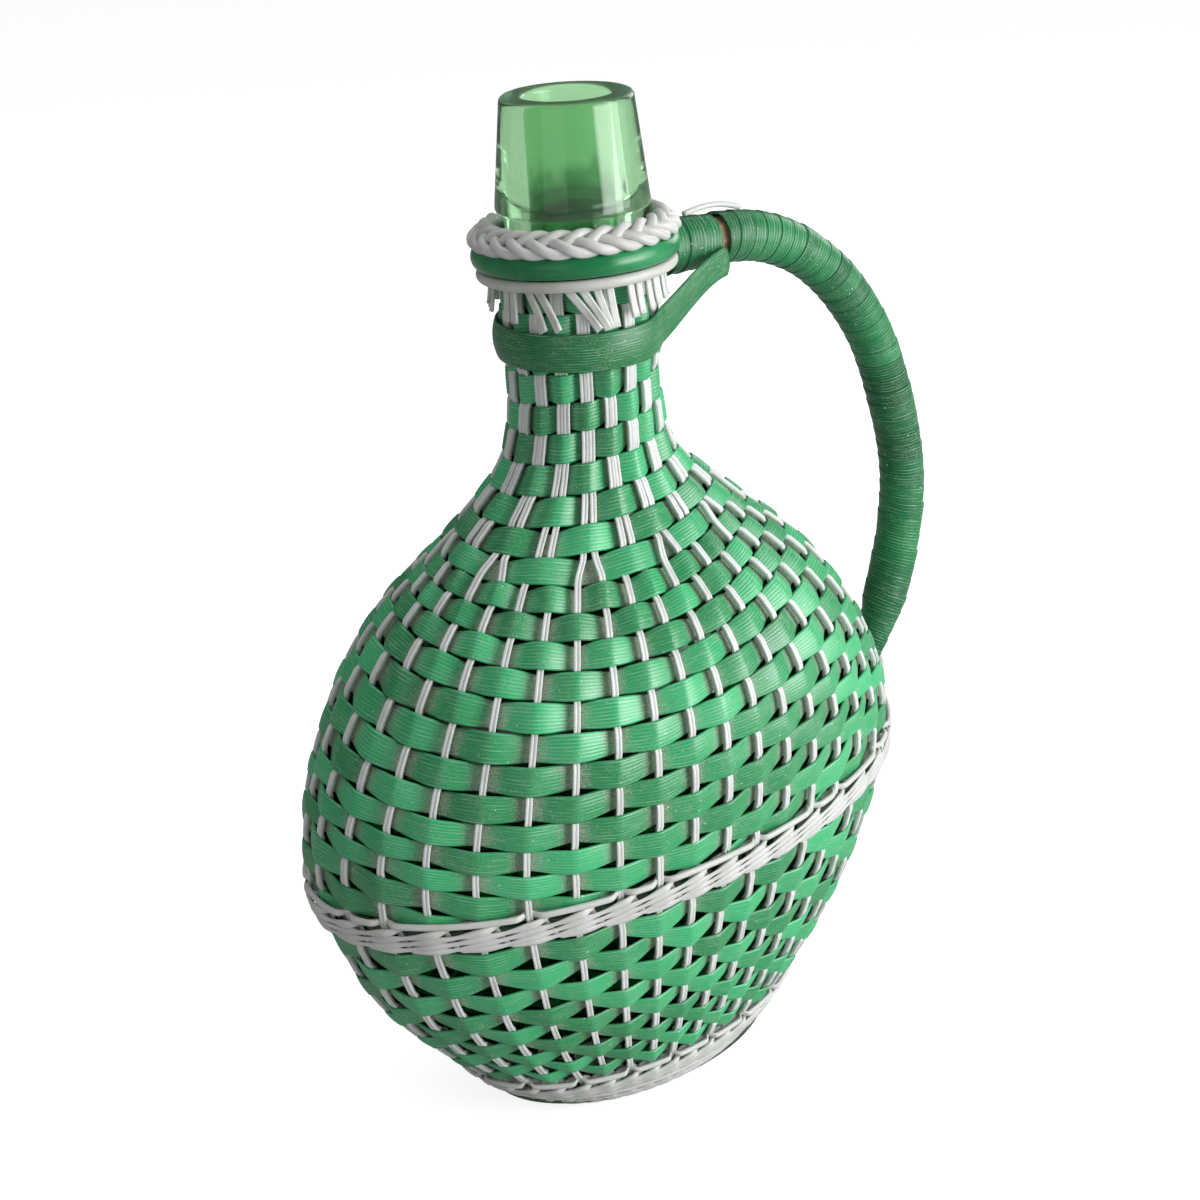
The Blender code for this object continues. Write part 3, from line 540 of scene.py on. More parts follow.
class Wiring:
    """Short calls that add nodes to a tree and join them."""

    def __init__(self, tree):
        self.tree = tree

    def node(self, kind, inputs=None, **settings):
        """A node with its settings, and its inputs as values or as links."""
        made = self.tree.nodes.new(kind)
        for key, value in settings.items():
            setattr(made, key, value)
        self.fill(made, inputs or {})
        return made

    def fill(self, made, inputs):
        """Set or join a node's inputs."""
        for key, value in inputs.items():
            if isinstance(value, bpy.types.NodeSocket):
                self.tree.links.new(value, made.inputs[key])
            else:
                made.inputs[key].default_value = value

    def reckon(self, operation, first, second=0.0, third=0.0):
        """Output of a math node."""
        made = self.node("ShaderNodeMath", {0: first, 1: second, 2: third},
                         operation=operation)
        return made.outputs[0]

    def sum(self, first, second):
        """Sum of two values."""
        return self.reckon("ADD", first, second)

    def product(self, first, second):
        """Product of two values."""
        return self.reckon("MULTIPLY", first, second)

    def noise(self, place, scale, detail=3.0, roughness=0.55):
        """Noise value, about 0.5 on the whole."""
        made = self.node("ShaderNodeTexNoise", {"Vector": place, "Scale": scale,
                                                "Detail": detail, "Roughness": roughness})
        return made.outputs["Fac"]

    def step(self, value, low, high):
        """Value taken from low..high to 0..1 and kept there."""
        made = self.node("ShaderNodeMapRange", {"Value": value, "From Min": low,
                                                "From Max": high}, clamp=True,
                         interpolation_type="SMOOTHSTEP")
        return made.outputs[0]

    def stretch(self, place, scale):
        """Place scaled unevenly."""
        made = self.node("ShaderNodeMapping", {"Vector": place, "Scale": scale})
        return made.outputs[0]

    def blend(self, share, first, second):
        """Colour between two."""
        made = self.node("ShaderNodeMix", {0: share, 6: first, 7: second}, data_type="RGBA")
        return made.outputs[2]

    def bump(self, strength, distance, height):
        """Normal of a small relief."""
        made = self.node("ShaderNodeBump", {"Strength": strength, "Distance": distance,
                                            "Height": height})
        return made.outputs[0]

    def whole(self):
        """Place in the object's own coordinates."""
        return self.node("ShaderNodeTexCoord").outputs["Object"]

    def map(self):
        """Place on the piece's own map: along and across."""
        return self.node("ShaderNodeUVMap", uv_map="map").outputs[0]

    def field(self, name):
        """Value carried by the mesh."""
        return self.node("ShaderNodeAttribute", attribute_name=name).outputs["Fac"]


def new_material(name):
    """Empty node material with its principled shader and a wiring for it."""
    material = bpy.data.materials.new(name)
    material.use_nodes = True
    tree = material.node_tree
    shader = tree.nodes["Principled BSDF"]
    return material, Wiring(tree), shader


def dust_and_shade_group():
    """Grey-brown dust, also laid as painted shade: how much of it lies at a place, from an amount
    and fine noise.
    """
    tree = bpy.data.node_groups.new("dust", "ShaderNodeTree")
    for name, kind in (("Place", "NodeSocketVector"), ("Amount", "NodeSocketFloat"),
                       ("Grain", "NodeSocketFloat"), ("Colour", "NodeSocketColor")):
        tree.interface.new_socket(name, in_out="INPUT", socket_type=kind)
    for name, kind in (("Mask", "NodeSocketFloat"), ("Colour", "NodeSocketColor")):
        tree.interface.new_socket(name, in_out="OUTPUT", socket_type=kind)
    wire = Wiring(tree)
    source = wire.node("NodeGroupInput")
    broad = wire.noise(source.outputs["Place"], 110.0, 4.0, 0.6)
    fine = wire.noise(source.outputs["Place"], 2600.0, 2.0, 0.85)
    grains = wire.sum(wire.product(broad, 0.9), wire.product(fine, 2.2))
    grains = wire.sum(grains, wire.product(source.outputs["Grain"], 0.35))
    level = wire.sum(grains, source.outputs["Amount"])
    mask = wire.product(wire.step(level, 2.02, 2.62), 0.85)
    tint = wire.blend(wire.step(fine, 0.42, 0.60), (0.170, 0.160, 0.125, 1),
                      (0.480, 0.455, 0.390, 1))
    result = wire.blend(mask, source.outputs["Colour"], tint)
    wire.node("NodeGroupOutput", {"Mask": mask, "Colour": result})
    return tree


DUST_AND_SHADE = dust_and_shade_group()


def dusty(wire, colour, amount, grain=0.5):
    """Colour under the dust and painted shade group, and its mask."""
    made = wire.node("ShaderNodeGroup", {"Place": wire.whole(), "Amount": amount,
                                         "Grain": grain, "Colour": colour}, node_tree=DUST_AND_SHADE)
    return made.outputs["Colour"], made.outputs["Mask"]


def ribbon_material(name, deep, light, rib_count, dust_low, gloss):
    """Ribbed plastic ribbon: painted highlight lines along its rib crests and painted shade in its
    grooves, and dust with painted shade where it dives.
    """
    material, wire, shader = new_material(name)
    place = wire.map()
    split = wire.node("ShaderNodeSeparateXYZ", {0: place})
    across = split.outputs[1]
    cover = wire.field("cover")
    tone = wire.field("tone")
    whole = wire.whole()
    streak = wire.noise(wire.stretch(place, (120.0, 34.0, 1.0)), 1.0, 3.0, 0.6)
    cloud = wire.noise(whole, 60.0, 3.0, 0.5)
    shade = wire.sum(wire.product(tone, 0.5), wire.product(cloud, 0.5))
    body = wire.blend(wire.step(shade, 0.25, 0.80), deep, light)
    crest = wire.reckon("COSINE", wire.product(across, 2 * math.pi * rib_count))
    # Painted shade: the grooves between the ribs are darker.
    painted_groove_shade = wire.step(crest, 0.30, 0.95)
    painted_groove_shade = wire.product(painted_groove_shade, wire.sum(0.45, wire.step(cloud, 0.40, 0.60)))
    body = wire.blend(wire.product(painted_groove_shade, 0.30), body, (0.003, 0.070, 0.020, 1))
    # Painted highlight: pale lines along the rib crests, broken by streaks.
    painted_rib_highlight = wire.product(wire.step(wire.product(crest, -1.0), 0.70, 0.99),
                        wire.sum(0.15, wire.step(streak, 0.48, 0.60)))
    body = wire.blend(wire.product(painted_rib_highlight, 0.62), body, (0.400, 0.680, 0.480, 1))
    speck = wire.noise(whole, 1300.0, 0.0, 0.5)
    body = wire.blend(wire.step(speck, 0.845, 0.860), body, (0.70, 0.74, 0.68, 1))
    # Dust and painted shade, thickest where the ribbon dives under a stake
    amount = wire.sum(wire.product(wire.step(cover, 0.50, 1.10), 1.05), dust_low)
    grain = wire.sum(crest, streak)
    colour, mask = dusty(wire, body, amount, grain)
    rough = wire.sum(0.36, wire.product(mask, 0.50))
    height = wire.sum(wire.product(crest, -0.5), wire.product(streak, 0.6))
    wire.fill(shader, {"Base Color": colour, "Roughness": rough, "Specular IOR Level": gloss,
                       "Normal": wire.bump(0.35, 0.00012, height)})
    return material


def strand_material(name, clean, shaded, lines, dust_low):
    """White plastic strand: faint lines along it, and dust with painted shade in its grooves and
    low places.
    """
    material, wire, shader = new_material(name)
    place = wire.map()
    whole = wire.whole()
    cover = wire.field("cover")
    grain = wire.noise(wire.stretch(place, (60.0, lines, 1.0)), 1.0, 2.0, 0.6)
    cloud = wire.noise(whole, 110.0, 3.0, 0.5)
    body = wire.blend(wire.step(wire.sum(wire.product(grain, 0.5),
                                         wire.product(cloud, 0.5)), 0.30, 0.62),
                      shaded, clean)
    # Dust and painted shade, more where the strand is covered by its neighbours
    amount = wire.sum(wire.product(wire.step(cover, 0.35, 1.0), 0.60), dust_low)
    colour, mask = dusty(wire, body, amount)
    rough = wire.sum(0.38, wire.product(mask, 0.4))
    wire.fill(shader, {"Base Color": colour, "Roughness": rough, "Subsurface Weight": 0.15,
                       "Subsurface Radius": (0.0012, 0.0012, 0.0011), "Subsurface Scale": 1.0,
                       "Normal": wire.bump(0.25, 0.00010, grain)})
    return material


def hoop_material():
    """Smooth glossy green tube, dusty on its upper side."""
    material, wire, shader = new_material("hoop_green")
    whole = wire.whole()
    cloud = wire.noise(whole, 45.0, 3.0, 0.5)
    body = wire.blend(wire.step(cloud, 0.35, 0.65), (0.012, 0.180, 0.060, 1),
                      (0.030, 0.270, 0.100, 1))
    amount = wire.product(wire.step(wire.field("cover"), 0.45, 1.1), 0.8)
    colour, mask = dusty(wire, body, amount)
    wire.fill(shader, {"Base Color": colour,
                       "Roughness": wire.sum(0.22, wire.product(mask, 0.5))})
    return material


def glass_material():
    """Thick green glass with painted shade: darker where it lies in the jacket and low inside the
    neck.
    """
    material, wire, shader = new_material("bottle_glass")
    colour = wire.blend(wire.field("shade"), (0.350, 0.640, 0.360, 1),
                        (0.020, 0.160, 0.050, 1))
    rough = wire.reckon("MULTIPLY_ADD", wire.field("frost"), 0.38, 0.02)
    wire.fill(shader, {"Base Color": colour, "Roughness": rough, "IOR": 1.50, "Metallic": 0.0,
                       "Transmission Weight": 0.92})
    return material


def cane_material():
    """Bare cane."""
    material, wire, shader = new_material("core_cane")
    whole = wire.whole()
    grain = wire.noise(whole, 300.0, 3.0, 0.6)
    colour = wire.blend(grain, (0.22, 0.15, 0.08, 1), (0.50, 0.38, 0.22, 1))
    wire.fill(shader, {"Base Color": colour, "Roughness": 0.75})
    return material


GREEN_RIBBON = ribbon_material("ribbon_green", (0.010, 0.270, 0.085, 1),
                               (0.038, 0.520, 0.200, 1), RIBBON_RIBS, 0.02, 0.8)
SLING_GREEN = ribbon_material("sling_green", (0.008, 0.150, 0.045, 1),
                              (0.022, 0.260, 0.085, 1), 14, 0.02, 0.5)
WRAP_GREEN = ribbon_material("wrap_green", (0.003, 0.100, 0.030, 1),
                             (0.014, 0.220, 0.072, 1), 6, -0.04, 0.4)
STAKE_WHITE = strand_material("stake_white", (0.725, 0.750, 0.740, 1),
                              (0.585, 0.595, 0.565, 1), 9.0, 0.06)
STRAND_WHITE = strand_material("strand_white", (0.650, 0.665, 0.650, 1),
                               (0.510, 0.515, 0.490, 1), 14.0, 0.04)
HOOP_WHITE = strand_material("hoop_white", (0.600, 0.610, 0.570, 1),
                             (0.480, 0.480, 0.440, 1), 6.0, 0.12)
TIP_WHITE = strand_material("tip_white", (0.760, 0.790, 0.770, 1),
                            (0.520, 0.510, 0.470, 1), 8.0, 0.12)
HOOP_GREEN = hoop_material()
GLASS = glass_material()
CANE = cane_material()


# Ribbon rows

INNER_SIDE = np.array([1.0, 0.5, 0.0])


def ribbed(ribs):
    """Shares v over a ribbon, ribs .5 - .5 cos(2 pi n v), all shares with its inner side's, map."""
    v = np.linspace(0, 1, 2 * ribs + 1)
    rib = 0.5 - 0.5 * np.cos(2 * math.pi * ribs * v)
    return v, rib, np.concatenate([v, INNER_SIDE]), np.concatenate([v, (1.2, 1.5, 1.8, 2.0)])


def ribbon_profile():
    """Across shares, depths and map of a row's ribbon: its ribs on a crown c (2v - 1)^2."""
    v, rib, v_all, across = ribbed(RIBBON_RIBS)
    depths = RIBBON_CROWN * (2 * v_all - 1) ** 2
    depths[:len(v)] += RIBBON_RIB * (1 - rib)
    depths[[0, len(v) - 1]] += 0.5 * RIBBON_CROWN
    depths[len(v):] += RIBBON_THICKNESS
    return v_all, depths, across


def over_wave(turn, row, rounded):
    """0 where the ribbon is over a stake and 1 where it is under, straight or rounded."""
    place = (turn + row + 1) % 2
    fold = 1 - np.abs(1 - place)
    return (1 - rounded) * fold + rounded * (0.5 - 0.5 * np.cos(math.pi * fold))


def wander(count, steps, size):
    """Small random changes from crossing to crossing, straight between them."""
    knots = rng.normal(0, size, count)
    return np.interp(np.arange(count * steps) / steps, np.arange(count + 1),
                     np.append(knots, knots[0]))


def ribbon(row, lower_row=None, run=None):
    """A ribbon over one stake and under the next, closed, or over a run of stakes only.

    Its lower edge lifts where it dives, and what reaches the mid band is tucked under it."""
    paired = lower_row is None and row < NECK_ROWS + PAIR_ROWS
    count = NECK_STAKES if paired else STAKES
    steps = 24 if paired else 12
    turn = np.arange(count * steps) / steps
    if run is not None:
        turn = np.arange(run[0] * steps - steps, run[1] * steps + steps + 1) / steps
    if paired:
        share = (turn + STAKE_PHASE_SHARE) / NECK_STAKES
    else:
        share = stake_share(turn, UPPER_ROWS)
    wave = over_wave(turn, row, np.interp(row, (9, 16, 21), (0.75, 0.40, 0.12)))
    if lower_row is None:
        top, bottom = upper_level(share, row), upper_level(share, row + 1)
        lift = np.interp(row, (0, NECK_ROWS, 16, 21), (0.07, 0.07, 0.07, 0.13))
        dip = np.interp(row, (9, 16, 21), (0.09, 0.07, 0.04))
    else:
        top, bottom = LOWER_EDGES[lower_row], LOWER_EDGES[lower_row + 1]
        lift, dip = 0.36, 0.0
    width = top - bottom - ROW_GAP
    here = (turn * steps).astype(int) % (count * steps)
    shift = wander(count, steps, ROW_WANDER)[here]
    upper = top - ROW_GAP / 2 + shift
    lower = upper - width * (1 - lift * wave ** 1.5)
    upper = upper - dip * wave ** 4 * width
    tuck = np.zeros(len(turn))
    if lower_row is None and not paired:
        lowest = BAND_TOP - TUCK_REACH
        tuck = TUCK_DEPTH * falling_step(BAND_TOP + TUCK_BEGIN_ABOVE,
                                         BAND_TOP - TUCK_FULL_BELOW, lower)
        upper, lower = np.maximum(upper, lowest + 0.0006), np.maximum(lower, lowest)
    v, depths, across = ribbon_profile()
    level = upper[:, None] + v[None, :] * (lower - upper)[:, None]
    ripple = np.abs(wander(count, steps, ROW_RIPPLE))[here]
    depth = wave * cross_depth((top + bottom) / 2) + tuck + ripple
    points = skin(share[:, None], level, depth[:, None] + depths[None, :])
    segment = np.floor((turn + row) / 2 % (count / 2)).astype(int)
    tone = rng.uniform(0, 1, count)[segment]
    spacing = travelled(points[:, 8])[-1] / len(turn)
    along = np.arange(len(turn) + 1) * spacing + 0.37 * row
    return grid_part(points, along, across, closed_along=run is None,
                     cover=wave[:, None], tone=tone[:, None])


def unbroken_runs(marked):
    """First and last stakes of the runs of neighbouring stakes that are marked."""
    runs = [[]]
    start = int(np.argmin(marked))
    for step in range(len(marked)):
        if marked[(start + step) % len(marked)]:
            runs[-1].append(start + step)
        elif runs[-1]:
            runs.append([])
    return [(run[0], run[-1]) for run in runs if run]


def weave():
    """The closed rows above and below the mid band, and the short rows that it cuts off."""
    for row in range(UPPER_ROWS + LOWER_ROWS):
        lower_row = row - UPPER_ROWS if row >= UPPER_ROWS else None
        piece(f"ribbon_row_{row + 1:02d}", [ribbon(row, lower_row)], GREEN_RIBBON,
              "green_ribbon", f"weave_row_{row + 1:02d}")
    share = stake_share(np.arange(STAKES), UPPER_ROWS)
    count = 0
    for row in range(UPPER_ROWS, UPPER_ROWS + SHORT_ROWS):
        top = np.maximum(upper_level(share, row), BAND_TOP)
        bottom = np.maximum(upper_level(share, row + 1), BAND_TOP)
        for run in unbroken_runs(top - bottom > SHORT_ROW_LEAST):
            count += 1
            piece(f"short_ribbon_{count}", [ribbon(row, run=run)], GREEN_RIBBON,
                  "green_ribbon", f"weave_short_row_{count}")


weave()


# Stakes

def stake_path(stake, steps=6):
    """Shares, levels and row places down one stake: by rows, through the band, to the foot."""
    place = np.arange((UPPER_ROWS + SHORT_ROWS) * steps + 1) / steps
    share = stake_share(float(stake), place)
    level = upper_level(share, place)
    above = level > BAND_TOP
    below = np.arange(LOWER_ROWS * steps + 1) / steps
    foot = np.linspace(LOWER_EDGES[-1], STAKE_FOOT_LEVEL, 8)[1:]
    level = np.concatenate([level[above], [BAND_TOP - 0.001, MID_BAND_HEIGHT],
                            np.interp(below, np.arange(LOWER_ROWS + 1), LOWER_EDGES), foot])
    ends = np.full(len(foot), float(UPPER_ROWS + LOWER_ROWS))
    last = place[above][-1]
    place = np.concatenate([place[above], [last, last], UPPER_ROWS + below, ends])
    return stake_share(float(stake), place), level, place


def stake_lines():
    """The stakes as flat grooved strands, out where a ribbon goes under and in elsewhere."""
    across = np.array([-1, -0.86, -0.5, -0.14, 0, 0.14, 0.5, 0.86, 1, 0.8, 0, -0.8])
    rise = np.array([0.35, 0.05, 0, 0.25, 1, 0.25, 0, 0.05, 0.35, 1, 1, 1])
    inner = np.arange(len(across)) > 8
    parts = []
    for stake in range(STAKES):
        share, level, place = stake_path(stake)
        width = STAKE_WIDTH_NECK + ((STAKE_WIDTH_BODY - STAKE_WIDTH_NECK)
                                    * smooth_step(NECK_ROWS, NECK_ROWS + PAIR_ROWS, place))
        rows = np.arange(UPPER_ROWS + LOWER_ROWS + SHORT_ROWS + 1)
        crossing = np.where(rows < NECK_ROWS + PAIR_ROWS, stake // 2, stake)
        outside = ((rows + crossing) % 2 == 0).astype(float)
        before = np.clip(np.floor(place - 0.5), 0, len(rows) - 2).astype(int)
        share_on = smooth_step(0.36, 0.64, place - 0.5 - before)
        out = outside[before] + share_on * (outside[before + 1] - outside[before])
        depth = STAKE_DEPTH_IN + out * (STAKE_DEPTH_OUT - STAKE_DEPTH_IN)
        depth = depth[:, None] + np.where(inner, STAKE_THICKNESS, STAKE_GROOVE * rise)[None, :]
        aside = across[None, :] * (width / 2)[:, None] + rng.normal(0, 0.00012)
        points = skin(share[:, None], level[:, None], depth, aside)
        parts.append(grid_part(points, travelled(points[:, 4]) + stake, across / 2 + 0.5,
                               closed_along=False, cover=1 - out[:, None]))
    return parts


piece("stakes", stake_lines(), STAKE_WHITE, "white_strand", "stake_frame")


# White bands

BAND_STEPS = 16


def twined_strand(start, period, top, width, slit):
    """Strand of a band: it rises over the band's width before the stakes, then goes behind one.

    Level = bottom + width p / (period - 1), with p its place in the period; it is narrower
    by the slit share midway between stakes, where it leaves its neighbours."""
    turn = np.arange(STAKES * BAND_STEPS) / BAND_STEPS
    phase = (turn - start) % period
    over = period - 1
    half = width / over / 2
    dive = smooth_step(over - 0.60, over, phase) - smooth_step(period - 0.45, period, phase)
    hidden = 0.6 / over
    climb = (np.clip(phase / over, 0, 1) - (1 - hidden) * smooth_step(over + 0.5, period, phase)
             + hidden * (1 - smooth_step(0, 0.8, phase)))
    level = top - width + half + climb * (width - 2 * half)
    centre, normal, _ = skin_frame(stake_share(turn, UPPER_ROWS), level)
    line = centre - (STRAND_DIVE * dive - STRAND_STAND_OUT)[:, None] * normal
    radius = half * (0.97 - slit * np.sin(math.pi * turn) ** 2)
    along = np.arange(len(turn) + 1) * 0.014 / BAND_STEPS + start
    cover = np.maximum(dive, smooth_step(over - 1.2, over, phase) * 0.7)
    return strand(line, normal, radius, along, 12, 0.55, cover=cover[:, None])


def bars_above(top):
    """For each stake, 1 where it shows just over a level, 0 where a ribbon hides it."""
    stakes = np.arange(STAKES)
    share = stake_share(stakes.astype(float), UPPER_ROWS)
    places = np.arange(NECK_ROWS, UPPER_ROWS + SHORT_ROWS, 0.05)
    over_level = upper_level(share[:, None], places[None, :]) > top
    row = np.floor(places[over_level.sum(axis=1) - 1])
    return ((row + stakes) % 2 == 0).astype(float)


def twined_band(name, period, top, width, slit, bars, nodes):
    """As many strands as the period has stakes, each starting one stake after the last.

    A thin dusty one runs along their top, behind the stakes that show there."""
    parts = [twined_strand(start + 0.62, period, top - BAND_OVERLAP, width - BAND_OVERLAP, slit)
             for start in range(period)]
    turn = np.arange(STAKES * BAND_STEPS) / BAND_STEPS
    centre, normal, _ = skin_frame(stake_share(turn, UPPER_ROWS), top - 0.0010)
    showing = bars[np.round(turn).astype(int) % STAKES]
    depth = -0.0002 + 0.0024 * showing * np.abs(np.cos(math.pi * turn)) ** 8
    side, up = frames_along(centre, normal, True)
    rings = tube(centre - depth[:, None] * normal, TOP_STRAND_RADIUS, side, up, 10, 0.8)
    parts.append(grid_part(rings, np.arange(len(turn) + 1) * 0.0009, cover=0.62))
    return piece(name, parts, STRAND_WHITE, "white_strand", *nodes)


twined_band("mid_band", 5, BAND_TOP + BAND_OVERLAP, MID_BAND_WIDTH, 0.46, bars_above(BAND_TOP),
            [f"mid_band_strand_{n}" for n in (1, 2, 3, 4)])
twined_band("foot_band", 4, FOOT_BAND_TOP, FOOT_BAND_WIDTH, 0.25, np.arange(STAKES) % 2 * 1.0,
            ["foot_band_strand_1", "foot_band_strand_2"])
twined_band("foot_edge", 4, FOOT_BAND_TOP - FOOT_EDGE_DROP, FOOT_EDGE_WIDTH, 0.20,
            np.zeros(STAKES), ["foot_band_strand_3"])


# Woven base

def base_weave():
    """Oval base: rings of strand that rise and fall in turn, all above the ground."""
    parts = []
    samples = 320
    share_round = np.arange(samples) / samples
    angle = 2 * math.pi * share_round
    (_, _, low), (foot_long, foot_short, _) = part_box("woven_floor")
    lead = np.tile([0.0, 0.0, 1.0], (samples, 1))
    for ring in range(BASE_RINGS):
        share = 1 - ring / (BASE_RINGS + 1)
        wave = np.cos(math.pi * (STAKES * share_round + ring))
        line = np.stack([share * foot_long * np.cos(angle), share * foot_short * np.sin(angle),
                         low + BASE_STRAND_HEIGHT + BASE_STRAND_SWING * wave], axis=-1)
        parts.append(strand(line, lead, BASE_STRAND_RADIUS, np.arange(samples + 1) * 0.001, 6,
                            cover=0.4))
    return parts


piece("base_weave", base_weave(), STRAND_WHITE, "white_strand", "woven_floor")


# Neck border

def tilted(points):
    """Points turned by the border's slant about the X axis through the neck."""
    cos, sin = math.cos(-BORDER_SLANT), math.sin(-BORDER_SLANT)
    y, z = points[..., 1], points[..., 2] - HOOP_HEIGHT
    return np.stack([points[..., 0], cos * y - sin * z, HOOP_HEIGHT + sin * y + cos * z],
                    axis=-1)


def ring_line(radius, height, samples):
    """Circle round the neck, its outward and upward directions and its angles."""
    angle = 2 * math.pi * np.arange(samples) / samples
    outwards = around(angle)
    up = np.tile([0.0, 0.0, 1.0], (samples, 1))
    return outwards * radius + up * height, outwards, up, angle


def hoop(name, radius, height, depth, tall, material, slot, node):
    """Hoop of oval section, with dust held on its upper side at the back."""
    line, outwards, up, angle = ring_line(radius, height, 160)
    cos, sin = round_section(24)
    rings = (line[:, None] + depth / 2 * cos[None, :, None] * outwards[:, None]
             + tall / 2 * sin[None, :, None] * up[:, None])
    cover = 0.5 + 0.3 * np.cos(angle - 0.6)[:, None] + 0.25 * sin[None, :]
    part = grid_part(tilted(rings), np.append(angle, 2 * math.pi) * radius, cover=cover)
    return piece(name, [part], material, slot, node)


def plait():
    """Strands evenly apart in t, each on an arc over the hoop, at a + b sin t, out c sin 2t."""
    samples = BRAID_PERIODS * 48
    line, outwards, up, angle = ring_line(BRAID_RADIUS, BRAID_HEIGHT, samples)
    middle = math.radians(52)
    parts = []
    for number in range(BRAID_STRANDS):
        phase = BRAID_PERIODS * angle + 2 * math.pi * number / BRAID_STRANDS
        lean = (middle + BRAID_SWING / BRAID_ARC_RADIUS * np.sin(phase))[:, None]
        facing = np.cos(lean) * outwards + np.sin(lean) * up
        path = (line + BRAID_ARC_RADIUS * (facing - math.cos(middle) * outwards
                                           - math.sin(middle) * up)
                + BRAID_CROSSING * np.sin(2 * phase)[:, None] * facing)
        side, rise = frames_along(path, facing, True)
        rings = tube(path, BRAID_STRAND_RADIUS, side, rise, 12, 0.85)
        parts.append(grid_part(tilted(rings), np.arange(samples + 1) * 0.0006,
                               cover=(0.3 - 0.3 * np.sin(2 * phase))[:, None]))
    return piece("plait", parts, STRAND_WHITE, "white_strand", "braided_border")


def stake_tips():
    """Cut ends of the stakes: flat strips that hang from behind the hoops and lean.

    Way w down a strip: it goes w tan(lean) aside, and out with the square of both."""
    tips = list(TIPS)
    for number, degrees in enumerate(range(44, 150, 9)):
        tips.append((degrees + 2.5 * math.sin(5.1 * number),
                     26 * math.sin(2.3 * (number // 2) + 0.7),
                     0.90 + 0.08 * math.cos(3.7 * number), 0.35 + 0.3 * math.sin(4 * number)))
    parts = []
    share = np.linspace(0, 1, 7)
    across = np.array([-1, -0.5, 0, 0.5, 1, 1, 0, -1])
    face = np.array([0.1, 0, 0.16, 0, 0.1, 1, 1, 1])
    down = np.array([0, 0, -1.0])
    for number, (degrees, lean, size, dust) in enumerate(tips):
        angle = math.radians(degrees)
        out = np.array([math.cos(angle), math.sin(angle), 0])
        aside = np.array([-math.sin(angle), math.cos(angle), 0])
        turn = math.tan(math.radians(lean))
        way = share * TIP_LENGTH * size
        away = TIP_RADIUS + 0.10 * way * share + 0.5 * (turn * way) ** 2 / TIP_RADIUS
        line = (out * away[:, None] + aside * (turn * way)[:, None]
                + down * (way - TIP_TOP)[:, None])
        points = (line[:, None, :]
                  + across[None, :, None] * TIP_WIDTH / 2 * unit(aside - turn * down)
                  + (1 - face)[None, :, None] * TIP_THICKNESS * out)
        parts.append(grid_part(points, way + 0.1 * number, across / 2 + 0.5,
                               closed_along=False, cover=dust))
    return piece("stake_tips", parts, TIP_WHITE, "white_strand", "stake_ends")


hoop("smooth_hoop", HOOP_RADIUS, HOOP_HEIGHT, HOOP_DEPTH, HOOP_TALL, HOOP_GREEN, "green_hoop",
     "green_hoop")
hoop("lower_hoop", WHITE_HOOP_RADIUS, WHITE_HOOP_HEIGHT, WHITE_HOOP_DEPTH, WHITE_HOOP_TALL,
     HOOP_WHITE, "white_strand", "white_hoop")
plait()
stake_tips()


# Handle

class HandleLine:
    """Centreline of the handle in the XZ plane, from its root down to its tip."""

    def __init__(self):
        root_x = HOOP_RADIUS + HOOP_DEPTH / 2 + 2 * BORDER_GAP
        root_z = HOOP_HEIGHT - HANDLE_ROOT_DROP
        reach = LONG_HALF + HANDLE_STAND_OFF
        tip_x = LONG_HALF + TIP_STAND_OFF + EYELET_THICKNESS / 2 + CORE_RADIUS_TIP
        tip_z = MID_BAND_HEIGHT + HANDLE_TIP_RISE
        points = [(root_x + s * (reach - root_x), 0, tip_z + r * (root_z - tip_z))
                  for s, r in HANDLE_UPPER_SHARES]
        points += [(tip_x + s * (reach - tip_x), 0, tip_z + r * (root_z - tip_z))
                   for s, r in HANDLE_LOWER_SHARES]
        self.line = smooth_through(points, SPLINE_STEPS)
        self.way = travelled(self.line)
        self.length = self.way[-1]
        self.along = unit(np.gradient(self.line, axis=0))

    def point(self, way, angle, radius):
        """Centre at a way along + radius (cos angle above + sin angle Y)."""
        way, angle, radius = np.broadcast_arrays(way, angle, radius)
        centre = np.stack([np.interp(way, self.way, self.line[:, i]) for i in range(3)], -1)
        along = unit(np.stack([np.interp(way, self.way, self.along[:, i]) for i in range(3)],
                              -1))
        above = np.stack([-along[..., 2], 0 * way, along[..., 0]], axis=-1)
        beside = np.array([0.0, 1.0, 0.0])
        return centre + radius[..., None] * (np.cos(angle)[..., None] * above
                                             + np.sin(angle)[..., None] * beside)

    def core_radius(self, way):
        """Radius of the core, thicker at the root and drawn in at the tip."""
        return np.interp(way, (0, self.length / 4, self.length - CORE_TIP_TAPER, self.length),
                         (CORE_RADIUS_ROOT, CORE_RADIUS_MIDDLE, CORE_RADIUS_MIDDLE,
                          CORE_RADIUS_TIP))

    def wound_radius(self, way):
        """Radius over the winding, at its thickest."""
        return self.core_radius(way) + WRAP_SEAT + WRAP_THICKNESS + WRAP_LAP


HANDLE = HandleLine()


